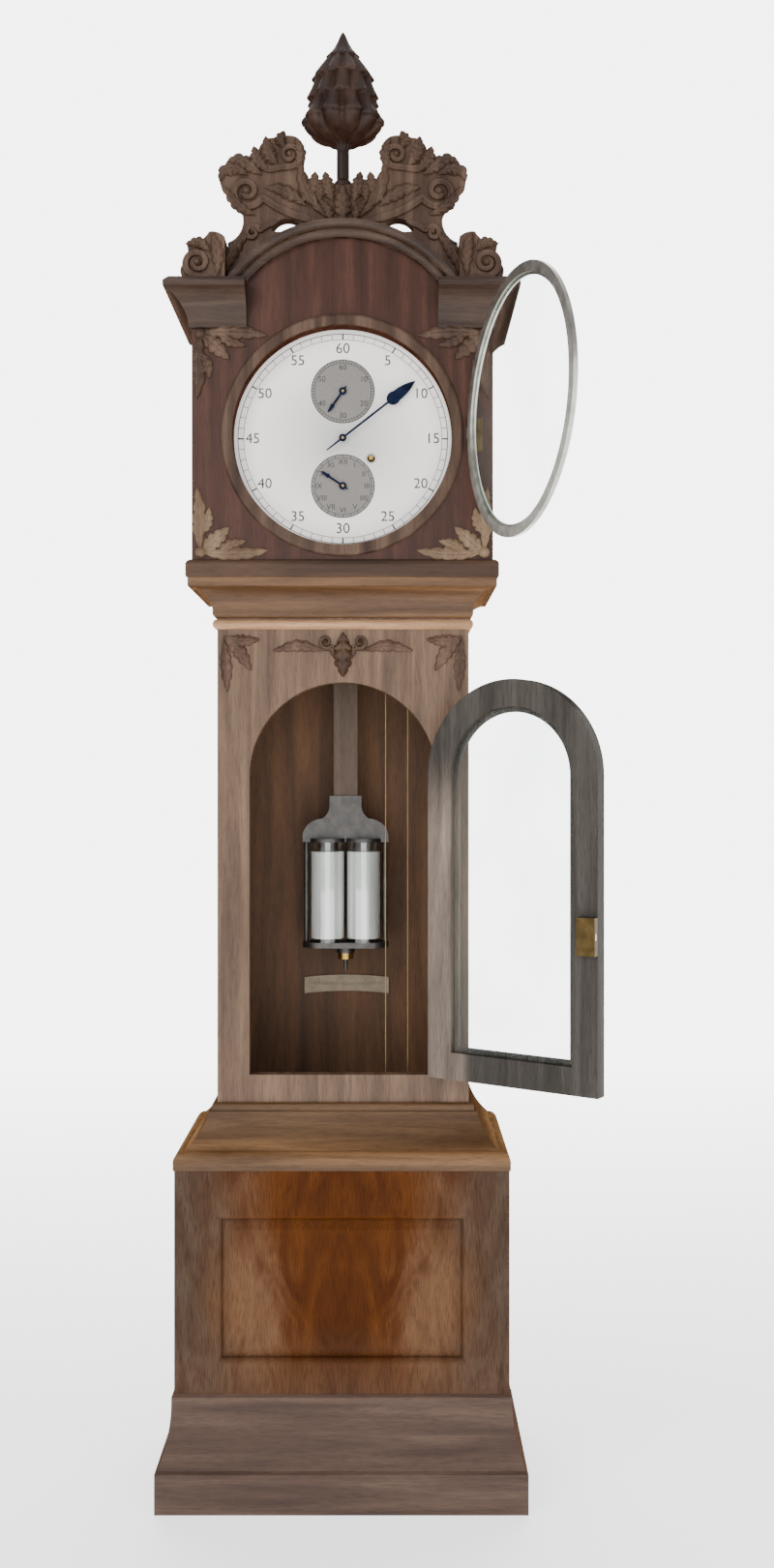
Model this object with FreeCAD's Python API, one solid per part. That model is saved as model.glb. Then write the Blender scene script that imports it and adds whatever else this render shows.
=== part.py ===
import FreeCAD, Part
import math
import os
from FreeCAD import Vector

# A mahogany longcase regulator. Millimetres, +X to the right seen from the front, -Y to the front,
# +Z up. The origin is on the floor, at the centre of the plinth's footprint.
# At rest the trunk door and the bezel stand open and the driving weight has run down.

# Case: width and depth of the trunk over its boards, how far the other stages stand out beyond it
# on each side and in front, and the height of each stage
TRUNK_WIDTH = 400.0
TRUNK_DEPTH = 229.0
BASE_STEP = 60.0
PLINTH_STEP = 27.0
HOOD_STEP = 36.0
PLINTH_HEIGHT = 175.0
BASE_HEIGHT = 346.0
WAIST_HEIGHT = 93.0
TRUNK_HEIGHT = 771.0
NECK_HEIGHT = 60.0
SIDE_BOARD = 18.0
FRONT_FRAME = 22.0
BACK_BOARD = 18.0
BOTTOM_BOARD = 18.0
TOP_BOARD = 14.0
SLIDING_GAP = 1.0

# Base front: frame members and the panel in it
BASE_STILE = 58.0
BASE_TOP_RAIL = 62.0
BASE_BOTTOM_RAIL = 214.0
PANEL_BEAD = 15.0
PANEL_BEAD_DEPTH = 11.0
PANEL_LIP = 3.0
PANEL_BOARD = 7.0
PANEL_FIELD = 5.0
PANEL_BEVEL = 16.0

# Mouldings: how far each stands out from the board that it is fixed to, and the size of its fillets
PLINTH_STRAIGHT = 62.0
PLINTH_CAP = 4.0
WAIST_NOSING = 2.0
WAIST_FILLET = 10.0
WAIST_OVOLO = 18.0
WAIST_STEP = 12.0
NECK_LEDGE = 6.0
NECK_FILLET = 14.0
NECK_BEAD = 7.0
HOOD_BAND_HEIGHT = 28.0
HOOD_BAND = 9.0
BAND_NOSE = 2.0
CORNICE_HEIGHT = 72.0
CORNICE_PROJECTION = 40.0
CORNICE_FILLET = 8.0
CORNICE_BEAD = 5.0

# Hood head: arch over the dial, carved shoulders, crest and finial
ARCH_RISE = 94.0
ARCH_INSET = 17.0
ARCH_BAND = 24.0
ARCH_PROJECTION = 22.0
SHOULDER_OVERHANG = 14.0
SHOULDER_HEIGHT = 76.0
SHOULDER_DEPTH = 64.0
CREST_THICKNESS = 24.0
SHOULDER_GAP = 1.0
CREST_LAP = 2.2
CREST_NECK_INSET = 24.0
CREST_LEAF_OVERHANG = 9.0
CREST_HEIGHT = 240.0
CREST_PEDESTAL = 22.0
CREST_PEDESTAL_DROP = 76.0
CREST_PEDESTAL_STEP = 14.0
PIERCING_INSET = 68.0
PIERCING_LENGTH = 46.0
PIERCING_HEIGHT = 20.0
FINIAL_HEIGHT = 246.0
FINIAL_STEM_RADIUS = 11.0
FINIAL_COLLAR_RADIUS = 64.0
FINIAL_STEM_HEIGHT = 58.0
FINIAL_TIP_RADIUS = 2.0

# Dial, its surround and the bezel
DIAL_SIDE_MARGIN = 64.0
DIAL_LAP = 5.0
DIAL_FOOT_MARGIN = 5.0
DIAL_HEADROOM = 48.0
DIAL_THICKNESS = 2.5
DIAL_GAP = 3.0
DIAL_FOOT_RADIUS = 4.0
SURROUND_WIDTH = 18.0
SURROUND_DEPTH = 6.0
BEZEL_SIGHT_LAP = 1.0
BEZEL_WIDTH = 19.0
BEZEL_DEPTH = 9.0
BEZEL_EDGE = 3.0
BEZEL_REBATE = 4.0
BEZEL_GLASS = 2.0
BEZEL_SEAT_GAP = 0.4
BEZEL_HINGE_LENGTH = 52.0
BEZEL_PLATE_WIDTH = 18.0
BEZEL_PLATE_THICKNESS = 2.0
BEZEL_ARM = 3.0
BEZEL_ARM_GAP = 1.5
BEZEL_OPEN_ANGLE = 108.0

# Trunk door and its opening
TRUNK_STILE = 51.0
OPENING_SILL = 44.0
OPENING_SPRING = 520.0
DOOR_GAP = 2.2
DOOR_FRAME = 50.0
DOOR_REBATE = 8.0
DOOR_REBATE_DEPTH = 10.0
DOOR_OVOLO = 7.0
DOOR_GLASS = 3.0
GLASS_CLEARANCE = 0.5
DOOR_OPEN_ANGLE = 146.0
HINGE_LENGTH = 60.0
HINGE_INSET = 90.0
KNUCKLE_RADIUS = 3.2
PIN_RADIUS = 1.6
PIN_CLEARANCE = 0.05
KNUCKLE_GAP = 0.4
KNUCKLE_STAND = 2.0
LEAF_STAND = 0.6
LEAF_THICKNESS = 0.9
LOCK_WIDTH = 30.0
LOCK_HEIGHT = 56.0
LOCK_DEPTH = 10.0
BOLT_LENGTH = 22.0
BOLT_HEIGHT = 10.0
BOLT_THICKNESS = 4.0
BOLT_CLEARANCE = 0.3
ESCUTCHEON_WIDTH = 18.0
ESCUTCHEON_HEIGHT = 40.0
ESCUTCHEON_THICKNESS = 1.2
ESCUTCHEON_FLAT = 0.5
KEYHOLE_RADIUS = 2.2

# Seat board and movement frame
SEAT_THICKNESS = 20.0
SEAT_FRONT_OVERHANG = 11.0
SEAT_DEPTH = 90.0
PLATE_WIDTH = 210.0
PLATE_BELOW_DIAL = 105.0
PLATE_ABOVE_DIAL = 128.0
PLATE_THICKNESS = 4.0
PLATE_SPACING = 52.0
DIAL_TO_PLATE = 31.0
PILLAR_RADIUS = 6.0
PILLAR_INSET = 13.0
PIVOT_RADIUS = 2.0
PIVOT_CLEARANCE = 0.05
ARBOR_RADIUS = 3.0
END_SHAKE = 0.3

# Train: tooth counts, modules (pitch diameter over teeth) and where the arbors stand
PRESSURE_ANGLE = 25.0
ADDENDUM = 0.8
DEDENDUM = 1.05
BACKLASH = 0.22
PINION_LEAVES = 12
GREAT_TEETH = 144
GREAT_MODULE = 0.7
CENTRE_TEETH = 96
CENTRE_MODULE = 0.8
THIRD_TEETH = 90
THIRD_MODULE = 0.8
ESCAPE_TEETH = 33
ESCAPE_RADIUS = 21.0
SECONDS_ABOVE_CENTRE = 75.0
HOURS_BELOW_CENTRE = 75.0
PALLETS_ABOVE_SECONDS = 31.0
CANNON_TEETH = 14
MINUTE_TEETH = 42
MINUTE_MODULE = 1.0
HOUR_TEETH = 56
HOUR_MODULE = 1.4
WINDING_ANGLE = -35.0
WHEEL_THICKNESS = 2.4
PINION_LENGTH = 7.0
WHEEL_ARMS = 5
WHEEL_ARM_WIDTH = 5.0
WHEEL_RIM = 4.0
WHEEL_HUB = 9.0
CENTRE_WHEEL_STAND = 4.0
THIRD_WHEEL_STAND = 20.0
ESCAPE_WHEEL_STAND = 14.0
GREAT_WHEEL_STAND = 6.0
MOTION_LAYER = 9.0
ESCAPE_TOOTH = 3.5
PALLET_GAP = 3.0
PALLET_SPAN_ANGLE = 47.0
PALLET_LENGTH = 9.0
PALLET_WIDTH = 4.0
PALLET_LAP = 0.8
ANCHOR_DEPTH = 7.0

# Barrel, line, pulley and weight
BARREL_RADIUS = 22.0
BARREL_LENGTH = 30.0
BARREL_FLANGE = 25.0
BARREL_ARBOR_RADIUS = 5.0
RATCHET_RADIUS = 17.0
RATCHET_TEETH = 30
RATCHET_TOOTH = 2.0
RATCHET_THICKNESS = 3.0
CLICK_WIDTH = 6.0
CLICK_THICKNESS = 2.5
BARREL_GAP = 4.0
BARREL_FLANGE_THICKNESS = 2.0
WINDING_SQUARE = 6.0
LINE_RADIUS = 0.8
LINE_CLEARANCE = 0.3
PULLEY_RADIUS = 18.0
PULLEY_RIM = 3.0
PULLEY_WIDTH = 9.0
PULLEY_AXLE_RADIUS = 3.0
STIRRUP_THICKNESS = 3.0
STIRRUP_GAP = 0.6
STIRRUP_WIDTH = 12.0
STIRRUP_HEAD = 7.0
STIRRUP_FOOT = 4.0
STIRRUP_SUNK = 1.0
PULLEY_ABOVE_WEIGHT = 8.0
PULLEY_LIP = 1.2
WEIGHT_FILLET = 4.0
WEIGHT_RADIUS = 26.0
WEIGHT_HEIGHT = 160.0
WEIGHT_ABOVE_FLOOR = 150.0

# Pendulum and its suspension
PENDULUM_BEHIND_PLATE = 63.0
ROD_WIDTH = 40.0
ROD_THICKNESS = 6.0
SPRING_WIDTH = 14.0
SPRING_THICKNESS = 0.5
SPRING_ABOVE_AXIS = 11.0
SPRING_SLOT_GAP = 0.9
CHOPS_BELOW_AXIS = 24.0
CHOPS_HEIGHT = 22.0
JAR_BELOW_AXIS = 835.0
JAR_RADIUS = 30.0
JAR_HEIGHT = 168.0
JAR_WALL = 2.2
JAR_BASE = 6.0
JAR_SPACING = 61.0
MERCURY_FREEBOARD = 16.0
MERCURY_CLEARANCE = 0.05
FRAME_ROD_RADIUS = 4.0
FRAME_ROD_GAP = 2.0
TRAY_THICKNESS = 9.0
YOKE_HEIGHT = 78.0
YOKE_THICKNESS = 14.0
YOKE_FOOT = 12.0
YOKE_NECK = 54.0
SCREW_RADIUS = 3.5
SCREW_LENGTH = 46.0
SCREW_TIP_RADIUS = 1.0
BOSS_RADIUS = 15.0
NUT_RADIUS = 13.0
NUT_HEIGHT = 10.0
NUT_CLEARANCE = 0.06
CRUTCH_LENGTH = 128.0
CRUTCH_WIDTH = 7.0
CRUTCH_THICKNESS = 3.0
FORK_CLEARANCE = 0.4
FORK_PRONG = 4.0
COCK_HALF_WIDTH = 32.0
COCK_FOOT = 12.0
COCK_HEIGHT = 28.0
COCK_STAND_OFF = 12.0
COCK_THICKNESS = 5.0
BRACKET_HALF_WIDTH = 30.0
BRACKET_HEIGHT = 64.0
BRACKET_PLATE = 7.0
BRACKET_ARM = 14.0
SCALE_WIDTH = 146.0
SCALE_HEIGHT = 34.0
SCALE_THICKNESS = 4.0
SCALE_SAG = 6.0
SCALE_BELOW_TIP = 48.0
WALL_HOLE_RADIUS = 4.0
WALL_HOLE_SPACING = 240.0
WALL_HOLE_BELOW_SEAT = 60.0

# Hands
MINUTE_HAND_SHORT = 26.0
SMALL_HAND_LENGTH = 42.0
HAND_THICKNESS = 1.2
HAND_WAIST = 1.6
HAND_STUB = 1.0
MINUTE_HAND_STAND = 8.0
SMALL_HAND_STAND = 3.5
HAND_BOSS_RADIUS = 6.0
MINUTE_HAND_ANGLE = 52.0
HOUR_HAND_ANGLE = 304.0
SECONDS_HAND_ANGLE = 215.0

# Places that follow from the sizes above
half_trunk = TRUNK_WIDTH / 2
half_base = half_trunk + BASE_STEP
half_hood = half_trunk + HOOD_STEP
back = (TRUNK_DEPTH + BASE_STEP + PLINTH_STEP) / 2
trunk_front = back - TRUNK_DEPTH
base_front = trunk_front - BASE_STEP
hood_front = trunk_front - HOOD_STEP
trunk_inside = trunk_front + FRONT_FRAME
base_inside = base_front + FRONT_FRAME
hood_inside = hood_front + FRONT_FRAME
board_face = back - BACK_BOARD
base_top = PLINTH_HEIGHT + BASE_HEIGHT
waist_top = base_top + WAIST_HEIGHT
trunk_top = waist_top + TRUNK_HEIGHT
neck_top = trunk_top + NECK_HEIGHT
dial_opening = half_hood - DIAL_SIDE_MARGIN
surround_radius = dial_opening + SURROUND_WIDTH
dial_z = neck_top + HOOD_BAND_HEIGHT + DIAL_FOOT_MARGIN + surround_radius
shoulder = dial_z + surround_radius + DIAL_HEADROOM
arch_radius = half_hood - ARCH_INSET
arch_centre = shoulder + ARCH_RISE - arch_radius
arch_foot = math.sqrt(arch_radius ** 2 - (shoulder - arch_centre) ** 2)
arch_inner_foot = math.sqrt((arch_radius - ARCH_BAND) ** 2 - (shoulder - arch_centre) ** 2)
crest_half = arch_foot + CREST_LAP
crest_neck = crest_half - CREST_NECK_INSET
crest_leaf = crest_half + CREST_LEAF_OVERHANG
crest_top = shoulder + CREST_HEIGHT
pedestal_top = crest_top - CREST_PEDESTAL_DROP
finial_y = hood_inside + CREST_THICKNESS / 2

dial_front = hood_inside + DIAL_GAP
dial_back = dial_front + DIAL_THICKNESS
plate_front = dial_back + DIAL_TO_PLATE
train_front = plate_front + PLATE_THICKNESS
train_back = train_front + PLATE_SPACING
plate_back = train_back + PLATE_THICKNESS
seat_top = dial_z - PLATE_BELOW_DIAL
seat_under = seat_top - SEAT_THICKNESS
seat_front = trunk_inside - SEAT_FRONT_OVERHANG

opening_half = half_trunk - TRUNK_STILE
sill = waist_top + OPENING_SILL
spring_line = waist_top + OPENING_SPRING
door_half = opening_half - DOOR_GAP
door_bottom = sill + DOOR_GAP
door_axis = Vector(opening_half - DOOR_GAP / 2, trunk_front - KNUCKLE_RADIUS - LEAF_STAND, 0)
dial_radius = dial_opening + DIAL_LAP
bezel_sight = dial_opening + BEZEL_SIGHT_LAP
bezel_radius = bezel_sight + BEZEL_WIDTH
surround_front = hood_front - SURROUND_DEPTH
bezel_back = surround_front - BEZEL_SEAT_GAP
bezel_axis = Vector(bezel_radius + KNUCKLE_RADIUS + KNUCKLE_STAND, bezel_back - BEZEL_DEPTH / 2, dial_z)

great_distance = (GREAT_TEETH + PINION_LEAVES) * GREAT_MODULE / 2
barrel_x = great_distance * math.cos(math.radians(WINDING_ANGLE))
barrel_z = dial_z + great_distance * math.sin(math.radians(WINDING_ANGLE))
seconds_z = dial_z + SECONDS_ABOVE_CENTRE
hours_z = dial_z - HOURS_BELOW_CENTRE
axis_z = seconds_z + PALLETS_ABOVE_SECONDS
pendulum_y = plate_back + PENDULUM_BEHIND_PLATE

centre_wheel_y = train_front + CENTRE_WHEEL_STAND
third_wheel_y = train_back - THIRD_WHEEL_STAND
escape_wheel_y = train_front + ESCAPE_WHEEL_STAND
great_wheel_y = train_back - GREAT_WHEEL_STAND
barrel_y = great_wheel_y - BARREL_GAP - BARREL_LENGTH
minute_wheel_y = plate_front - MOTION_LAYER
hour_wheel_y = minute_wheel_y - MOTION_LAYER
minute_hand_y = dial_front - MINUTE_HAND_STAND
small_hand_y = dial_front - SMALL_HAND_STAND
line_y = barrel_y + BARREL_LENGTH / 2
line_x = barrel_x + BARREL_RADIUS + LINE_RADIUS + LINE_CLEARANCE
pulley_x = line_x + PULLEY_RADIUS
weight_top = WEIGHT_ABOVE_FLOOR + WEIGHT_HEIGHT
pulley_z = weight_top + PULLEY_RADIUS + PULLEY_RIM + PULLEY_ABOVE_WEIGHT

jar_centre = axis_z - JAR_BELOW_AXIS
jar_bottom = jar_centre - JAR_HEIGHT / 2
jar_top = jar_centre + JAR_HEIGHT / 2
frame_rod_x = JAR_SPACING / 2 + JAR_RADIUS + FRAME_ROD_GAP + FRAME_ROD_RADIUS
tray_half = frame_rod_x + FRAME_ROD_RADIUS + FRAME_ROD_GAP
tray_bottom = jar_bottom - TRAY_THICKNESS
yoke_bottom = jar_top
yoke_top = yoke_bottom + YOKE_HEIGHT
screw_bottom = tray_bottom - SCREW_LENGTH
scale_z = screw_bottom - SCALE_BELOW_TIP + SCALE_HEIGHT / 2


def box(x0, x1, y0, y1, z0, z1):
    """Block between two corners."""
    return Part.makeBox(x1 - x0, y1 - y0, z1 - z0, Vector(x0, y0, z0))


def rod(radius, x, z, y0, y1):
    """Cylinder along Y."""
    return Part.makeCylinder(radius, y1 - y0, Vector(x, y0, z), Vector(0, 1, 0))


def post(radius, x, y, z0, z1):
    """Cylinder along Z."""
    return Part.makeCylinder(radius, z1 - z0, Vector(x, y, z0))


def outline(points, place):
    """Closed wire through (u, v) points. A third number on a point bends the edge that arrives there:
    it is the arc's height over its chord, positive to the left of the way along the edge."""
    edges = []
    for here, there in zip(points, points[1:] + points[:1]):
        start = place(here[0], here[1])
        end = place(there[0], there[1])
        if len(there) == 3:
            run_u = there[0] - here[0]
            run_v = there[1] - here[1]
            middle = place((here[0] + there[0]) / 2 - there[2] * run_v,
                           (here[1] + there[1]) / 2 + there[2] * run_u)
            edges.append(Part.Arc(start, middle, end).toShape())
        else:
            edges.append(Part.LineSegment(start, end).toShape())
    return Part.Wire(edges)


def slab(points, y0, y1):
    """Outline in X and Z, with a thickness from y0 to y1."""
    wire = outline(points, lambda u, v: Vector(u, y0, v))
    return Part.Face(wire).extrude(Vector(0, y1 - y0, 0))


def turned(points, centre, axis, degrees=360):
    """Profile of (radius, along) points turned about an axis through the centre."""
    if axis.z:
        place = lambda u, v: Vector(centre.x + u, centre.y, centre.z + v)
    else:
        place = lambda u, v: Vector(centre.x + u, centre.y + v, centre.z)
    return Part.Face(outline(points, place)).revolve(centre, axis, degrees)


def mirrored(shape):
    """The same piece on the other side of the clock."""
    return shape.mirror(Vector(0, 0, 0), Vector(1, 0, 0))


def pair(shape):
    return [shape, mirrored(shape)]


def fused(shapes):
    whole = shapes[0].fuse(shapes[1:])
    return whole.removeSplitter()


def moulding(points, half_width, front, rear):
    """Moulding of one (out, z) section round a front and two sides: front, right and left lengths,
    mitred at the corners. Out is the distance from the faces at half_width and front."""
    margin = 1.0
    reach = max(point[0] for point in points) + margin
    inner = min(point[0] for point in points) - margin
    low = min(point[1] for point in points) - CORNICE_HEIGHT
    tall = max(point[1] for point in points) + CORNICE_HEIGHT - low
    wide = half_width + reach
    front_bar = Part.Face(outline(points, lambda u, v: Vector(-wide, front - u, v)))
    front_bar = front_bar.extrude(Vector(2 * wide, 0, 0))
    side_bar = Part.Face(outline(points, lambda u, v: Vector(half_width + u, front - reach, v)))
    side_bar = side_bar.extrude(Vector(0, rear - front + reach, 0))
    outer_corner = Vector(half_width + reach, front - reach, low)
    inner_corner = Vector(half_width + inner, front - inner, low)
    front_zone = [Vector(-outer_corner.x, outer_corner.y, low), outer_corner, inner_corner,
                  Vector(-inner_corner.x, inner_corner.y, low)]
    side_zone = [outer_corner, Vector(outer_corner.x, rear, low), Vector(inner_corner.x, rear, low),
                 inner_corner]
    lengths = []
    for bar, zone in ((front_bar, front_zone), (side_bar, side_zone)):
        cutter = Part.Face(Part.makePolygon(zone + zone[:1])).extrude(Vector(0, 0, tall))
        lengths.append(bar.common(cutter))
    front_length, right_length = lengths
    return [front_length, right_length, mirrored(right_length)]


def gear_points(teeth, module, phase, x, z, y):
    """Involute teeth round (x, z), with a tooth's middle at the phase angle."""
    pitch = teeth * module / 2
    pressure = math.radians(PRESSURE_ANGLE)
    base = pitch * math.cos(pressure)
    tip = pitch + ADDENDUM * module
    root = pitch - DEDENDUM * module
    half_tooth = (math.pi * module / 2 - BACKLASH / 2) / (2 * pitch)
    start = max(base, root)
    steps = 4
    flank = []
    for step in range(steps):
        radius = start + (tip - start) * step / (steps - 1)
        turn = math.acos(min(1.0, base / radius))
        involute = math.tan(turn) - turn
        flank.append((radius, half_tooth + math.tan(pressure) - pressure - involute))
    if root < base:
        flank.insert(0, (root, flank[0][1]))
    points = []
    for tooth in range(teeth):
        middle = phase + 2 * math.pi * tooth / teeth
        polar = [(radius, middle - angle) for radius, angle in flank]
        polar += [(radius, middle + angle) for radius, angle in reversed(flank)]
        points += [Vector(x + radius * math.cos(angle), y, z + radius * math.sin(angle))
                   for radius, angle in polar]
    return points


def pinion(teeth, module, phase, x, z, y0, y1):
    """Solid pinion between y0 and y1."""
    points = gear_points(teeth, module, phase, x, z, y0)
    return Part.Face(Part.makePolygon(points + points[:1])).extrude(Vector(0, y1 - y0, 0))


def wheel_from(points, rim, x, z, y0, y1, bore):
    """Wheel blank with this toothed edge, crossed out to arms between the hub and the rim."""
    wires = [Part.makePolygon(points + points[:1])]
    wires.append(Part.Wire(Part.makeCircle(bore, Vector(x, y0, z), Vector(0, 1, 0))))
    if rim > WHEEL_HUB + WHEEL_RIM:
        for arm in range(WHEEL_ARMS):
            middle = 2 * math.pi * (arm + 0.5) / WHEEL_ARMS
            corners = []
            for radius in (WHEEL_HUB, rim):
                reach = math.pi / WHEEL_ARMS - math.asin(WHEEL_ARM_WIDTH / 2 / radius)
                corners.append([Vector(x + radius * math.cos(middle + side * reach), y0,
                                       z + radius * math.sin(middle + side * reach))
                                for side in (-1, 0, 1)])
            near, far = corners
            edges = [Part.Arc(near[0], near[1], near[2]).toShape(),
                     Part.LineSegment(near[2], far[2]).toShape(),
                     Part.Arc(far[2], far[1], far[0]).toShape(),
                     Part.LineSegment(far[0], near[0]).toShape()]
            wires.append(Part.Wire(edges))
    return Part.makeFace(wires, "Part::FaceMakerBullseye").extrude(Vector(0, y1 - y0, 0))


def wheel(teeth, module, phase, x, z, y0, bore):
    rim = (teeth / 2 - DEDENDUM) * module - WHEEL_RIM
    return wheel_from(gear_points(teeth, module, phase, x, z, y0), rim, x, z, y0, y0 + WHEEL_THICKNESS, bore)


def mesh_phases(x0, z0, x1, z1, teeth):
    """Phases that put a tooth of the first wheel in the middle of a space of the second."""
    towards = math.atan2(z1 - z0, x1 - x0)
    return towards, towards + math.pi + math.pi / teeth


def third_point(x0, z0, reach0, x1, z1, reach1, side):
    """The point at two given distances from two arbors, on one side of the line between them."""
    span = math.hypot(x1 - x0, z1 - z0)
    along = (reach0 ** 2 - reach1 ** 2 + span ** 2) / (2 * span)
    across = side * math.sqrt(reach0 ** 2 - along ** 2)
    unit_x = (x1 - x0) / span
    unit_z = (z1 - z0) / span
    return x0 + along * unit_x - across * unit_z, z0 + along * unit_z + across * unit_x


def arbor(x, z, y0, y1):
    """Arbor between the plates, with a pivot through each plate."""
    body = rod(ARBOR_RADIUS, x, z, train_front + END_SHAKE, train_back - END_SHAKE)
    return fused([body, rod(PIVOT_RADIUS, x, z, y0, y1)])


# Where the arbors stand that two meshes fix
third_x, third_z = third_point(0, dial_z, (CENTRE_TEETH + PINION_LEAVES) * CENTRE_MODULE / 2, 0, seconds_z,
                               (THIRD_TEETH + PINION_LEAVES) * THIRD_MODULE / 2, 1)
minute_x, minute_z = third_point(0, dial_z, (CANNON_TEETH + MINUTE_TEETH) * MINUTE_MODULE / 2, 0, hours_z,
                                 (CANNON_TEETH + HOUR_TEETH) * HOUR_MODULE / 2, -1)
arbors = [(0, dial_z), (third_x, third_z), (0, seconds_z), (barrel_x, barrel_z)]


def plinth():
    """Skirting round the foot of the base: straight below, a long hollow above, a small cap."""
    section = [(0, 0), (PLINTH_STEP, 0), (PLINTH_STEP, PLINTH_STRAIGHT),
               (PLINTH_STEP - PLINTH_CAP, PLINTH_STRAIGHT + PLINTH_CAP),
               (PLINTH_CAP, PLINTH_HEIGHT - 2 * PLINTH_CAP, 0.05),
               (PLINTH_CAP, PLINTH_HEIGHT - PLINTH_CAP), (0, PLINTH_HEIGHT)]
    return moulding(section, half_base, base_front, back)


def base_frame():
    """Two stiles over the full height and two rails between them."""
    stile = box(half_base - BASE_STILE, half_base, base_front, base_inside, 0, base_top)
    inner = half_base - BASE_STILE
    rails = [box(-inner, inner, base_front, base_inside, 0, BASE_BOTTOM_RAIL),
             box(-inner, inner, base_front, base_inside, base_top - BASE_TOP_RAIL, base_top)]
    return pair(stile) + rails


def base_panel():
    """Panel in the back of the frame, with a bevelled field standing forward."""
    half = half_base - BASE_STILE
    low = BASE_BOTTOM_RAIL
    high = base_top - BASE_TOP_RAIL
    face = base_front + PANEL_BEAD_DEPTH
    plate = box(-half, half, face, face + PANEL_BOARD, low, high)
    loops = []
    for inset, y in ((PANEL_BEAD, face), (PANEL_BEAD + PANEL_BEVEL, face - PANEL_FIELD)):
        corners = [Vector(-half + inset, y, low + inset), Vector(half - inset, y, low + inset),
                   Vector(half - inset, y, high - inset), Vector(-half + inset, y, high - inset)]
        loops.append(Part.makePolygon(corners + corners[:1]))
    return [fused([plate, Part.makeLoft(loops, True, True)])]


def panel_moulding():
    """Quarter round bead inside the frame, four lengths mitred at the corners."""
    half = half_base - BASE_STILE
    low = BASE_BOTTOM_RAIL
    high = base_top - BASE_TOP_RAIL
    middle = (low + high) / 2
    rear = base_front + PANEL_BEAD_DEPTH
    section = [(0, base_front), (0, rear), (PANEL_BEAD, rear), (PANEL_BEAD, rear - PANEL_LIP),
               (PANEL_LIP, base_front, 0.2)]
    upright = Part.Face(outline(section, lambda u, v: Vector(half - u, v, low)))
    upright = upright.extrude(Vector(0, 0, high - low))
    level = Part.Face(outline(section, lambda u, v: Vector(-half, v, low + u)))
    level = level.extrude(Vector(2 * half, 0, 0))
    cut = PANEL_BEAD + PANEL_LIP
    side_zone = [Vector(half, base_front, low), Vector(half, base_front, high),
                 Vector(half - cut, base_front, high - cut), Vector(half - cut, base_front, low + cut)]
    foot_zone = [Vector(-half, base_front, low), Vector(half, base_front, low),
                 Vector(half - cut, base_front, low + cut), Vector(-half + cut, base_front, low + cut)]
    lengths = []
    for bar, zone in ((upright, side_zone), (level, foot_zone)):
        cutter = Part.Face(Part.makePolygon(zone + zone[:1])).extrude(Vector(0, PANEL_BEAD_DEPTH, 0))
        lengths.append(bar.common(cutter))
    side, foot = lengths
    return pair(side) + [foot, foot.mirror(Vector(0, 0, middle), Vector(0, 0, 1))]


def waist_moulding():
    """From the base in to the trunk: nosing, ovolo, hollow and a small bead under the trunk front."""
    out = BASE_STEP + WAIST_NOSING
    ovolo_top = base_top + WAIST_FILLET + WAIST_OVOLO
    section = [(0, base_top), (out, base_top), (out, base_top + WAIST_FILLET),
               (out - WAIST_STEP, ovolo_top, -0.2), (out - 1.3 * WAIST_STEP, ovolo_top),
               (WAIST_STEP, waist_top - WAIST_STEP, 0.08), (0.7 * WAIST_STEP, waist_top - WAIST_STEP),
               (0.7 * WAIST_STEP, waist_top - 0.3 * WAIST_STEP), (0, waist_top, -0.2)]
    return moulding(section, half_trunk, trunk_front, back)


def trunk_front_frame():
    """Stiles, sill rail and the arched head round the door opening."""
    stile = box(opening_half, half_trunk, trunk_front, trunk_inside, base_top, spring_line)
    rail = box(-opening_half, opening_half, trunk_front, trunk_inside, base_top, sill)
    head = slab([(-half_trunk, spring_line), (-opening_half, spring_line), (opening_half, spring_line, 0.5),
                 (half_trunk, spring_line), (half_trunk, neck_top), (-half_trunk, neck_top)],
                trunk_front, trunk_inside)
    return pair(stile) + [rail, head]


def backboard():
    """One board down the whole back, wider behind the base and inside the hood, with two wall screws."""
    inside_hood = half_hood - SIDE_BOARD - SLIDING_GAP
    top = shoulder - TOP_BOARD - SLIDING_GAP
    right = [(half_base, 0), (half_base, base_top), (half_trunk, base_top), (half_trunk, neck_top),
             (inside_hood, neck_top), (inside_hood, top)]
    left = [(-x, z) for x, z in reversed(right)]
    board = slab(right + left, board_face, back)
    for x in (-WALL_HOLE_SPACING / 2, WALL_HOLE_SPACING / 2):
        board = board.cut(rod(WALL_HOLE_RADIUS, x, seat_under - WALL_HOLE_BELOW_SEAT, board_face, back))
    return [board]


def neck_moulding():
    """Deep hollow from the trunk out to the ledge that carries the hood."""
    ledge = neck_top - NECK_FILLET
    out = HOOD_STEP + NECK_LEDGE
    section = [(0, trunk_top), (NECK_BEAD, trunk_top + NECK_BEAD, -0.2),
               (NECK_BEAD, trunk_top + 1.4 * NECK_BEAD), (out - NECK_BEAD, ledge, 0.18), (out, ledge),
               (out, neck_top), (0, neck_top)]
    return moulding(section, half_trunk, trunk_front, back)


def seat_board():
    """Board across the trunk cheeks that the movement stands on, with a hole for the line."""
    board = box(-half_trunk, half_trunk, seat_front, seat_front + SEAT_DEPTH, seat_under, seat_top)
    hole = post(4 * LINE_RADIUS, line_x, line_y, seat_under, seat_top)
    return [board.cut(hole)]


def beat_scale():
    """Silvered scale on the backboard below the pendulum's tip, its top edge hollowed to the swing."""
    half = SCALE_WIDTH / 2
    low = scale_z - SCALE_HEIGHT / 2
    high = scale_z + SCALE_HEIGHT / 2
    foot = low + SCALE_SAG
    return [slab([(-half, foot), (half, foot, 0.03), (half, high), (-half, high, -0.03)],
                 board_face - SCALE_THICKNESS, board_face)]


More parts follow.
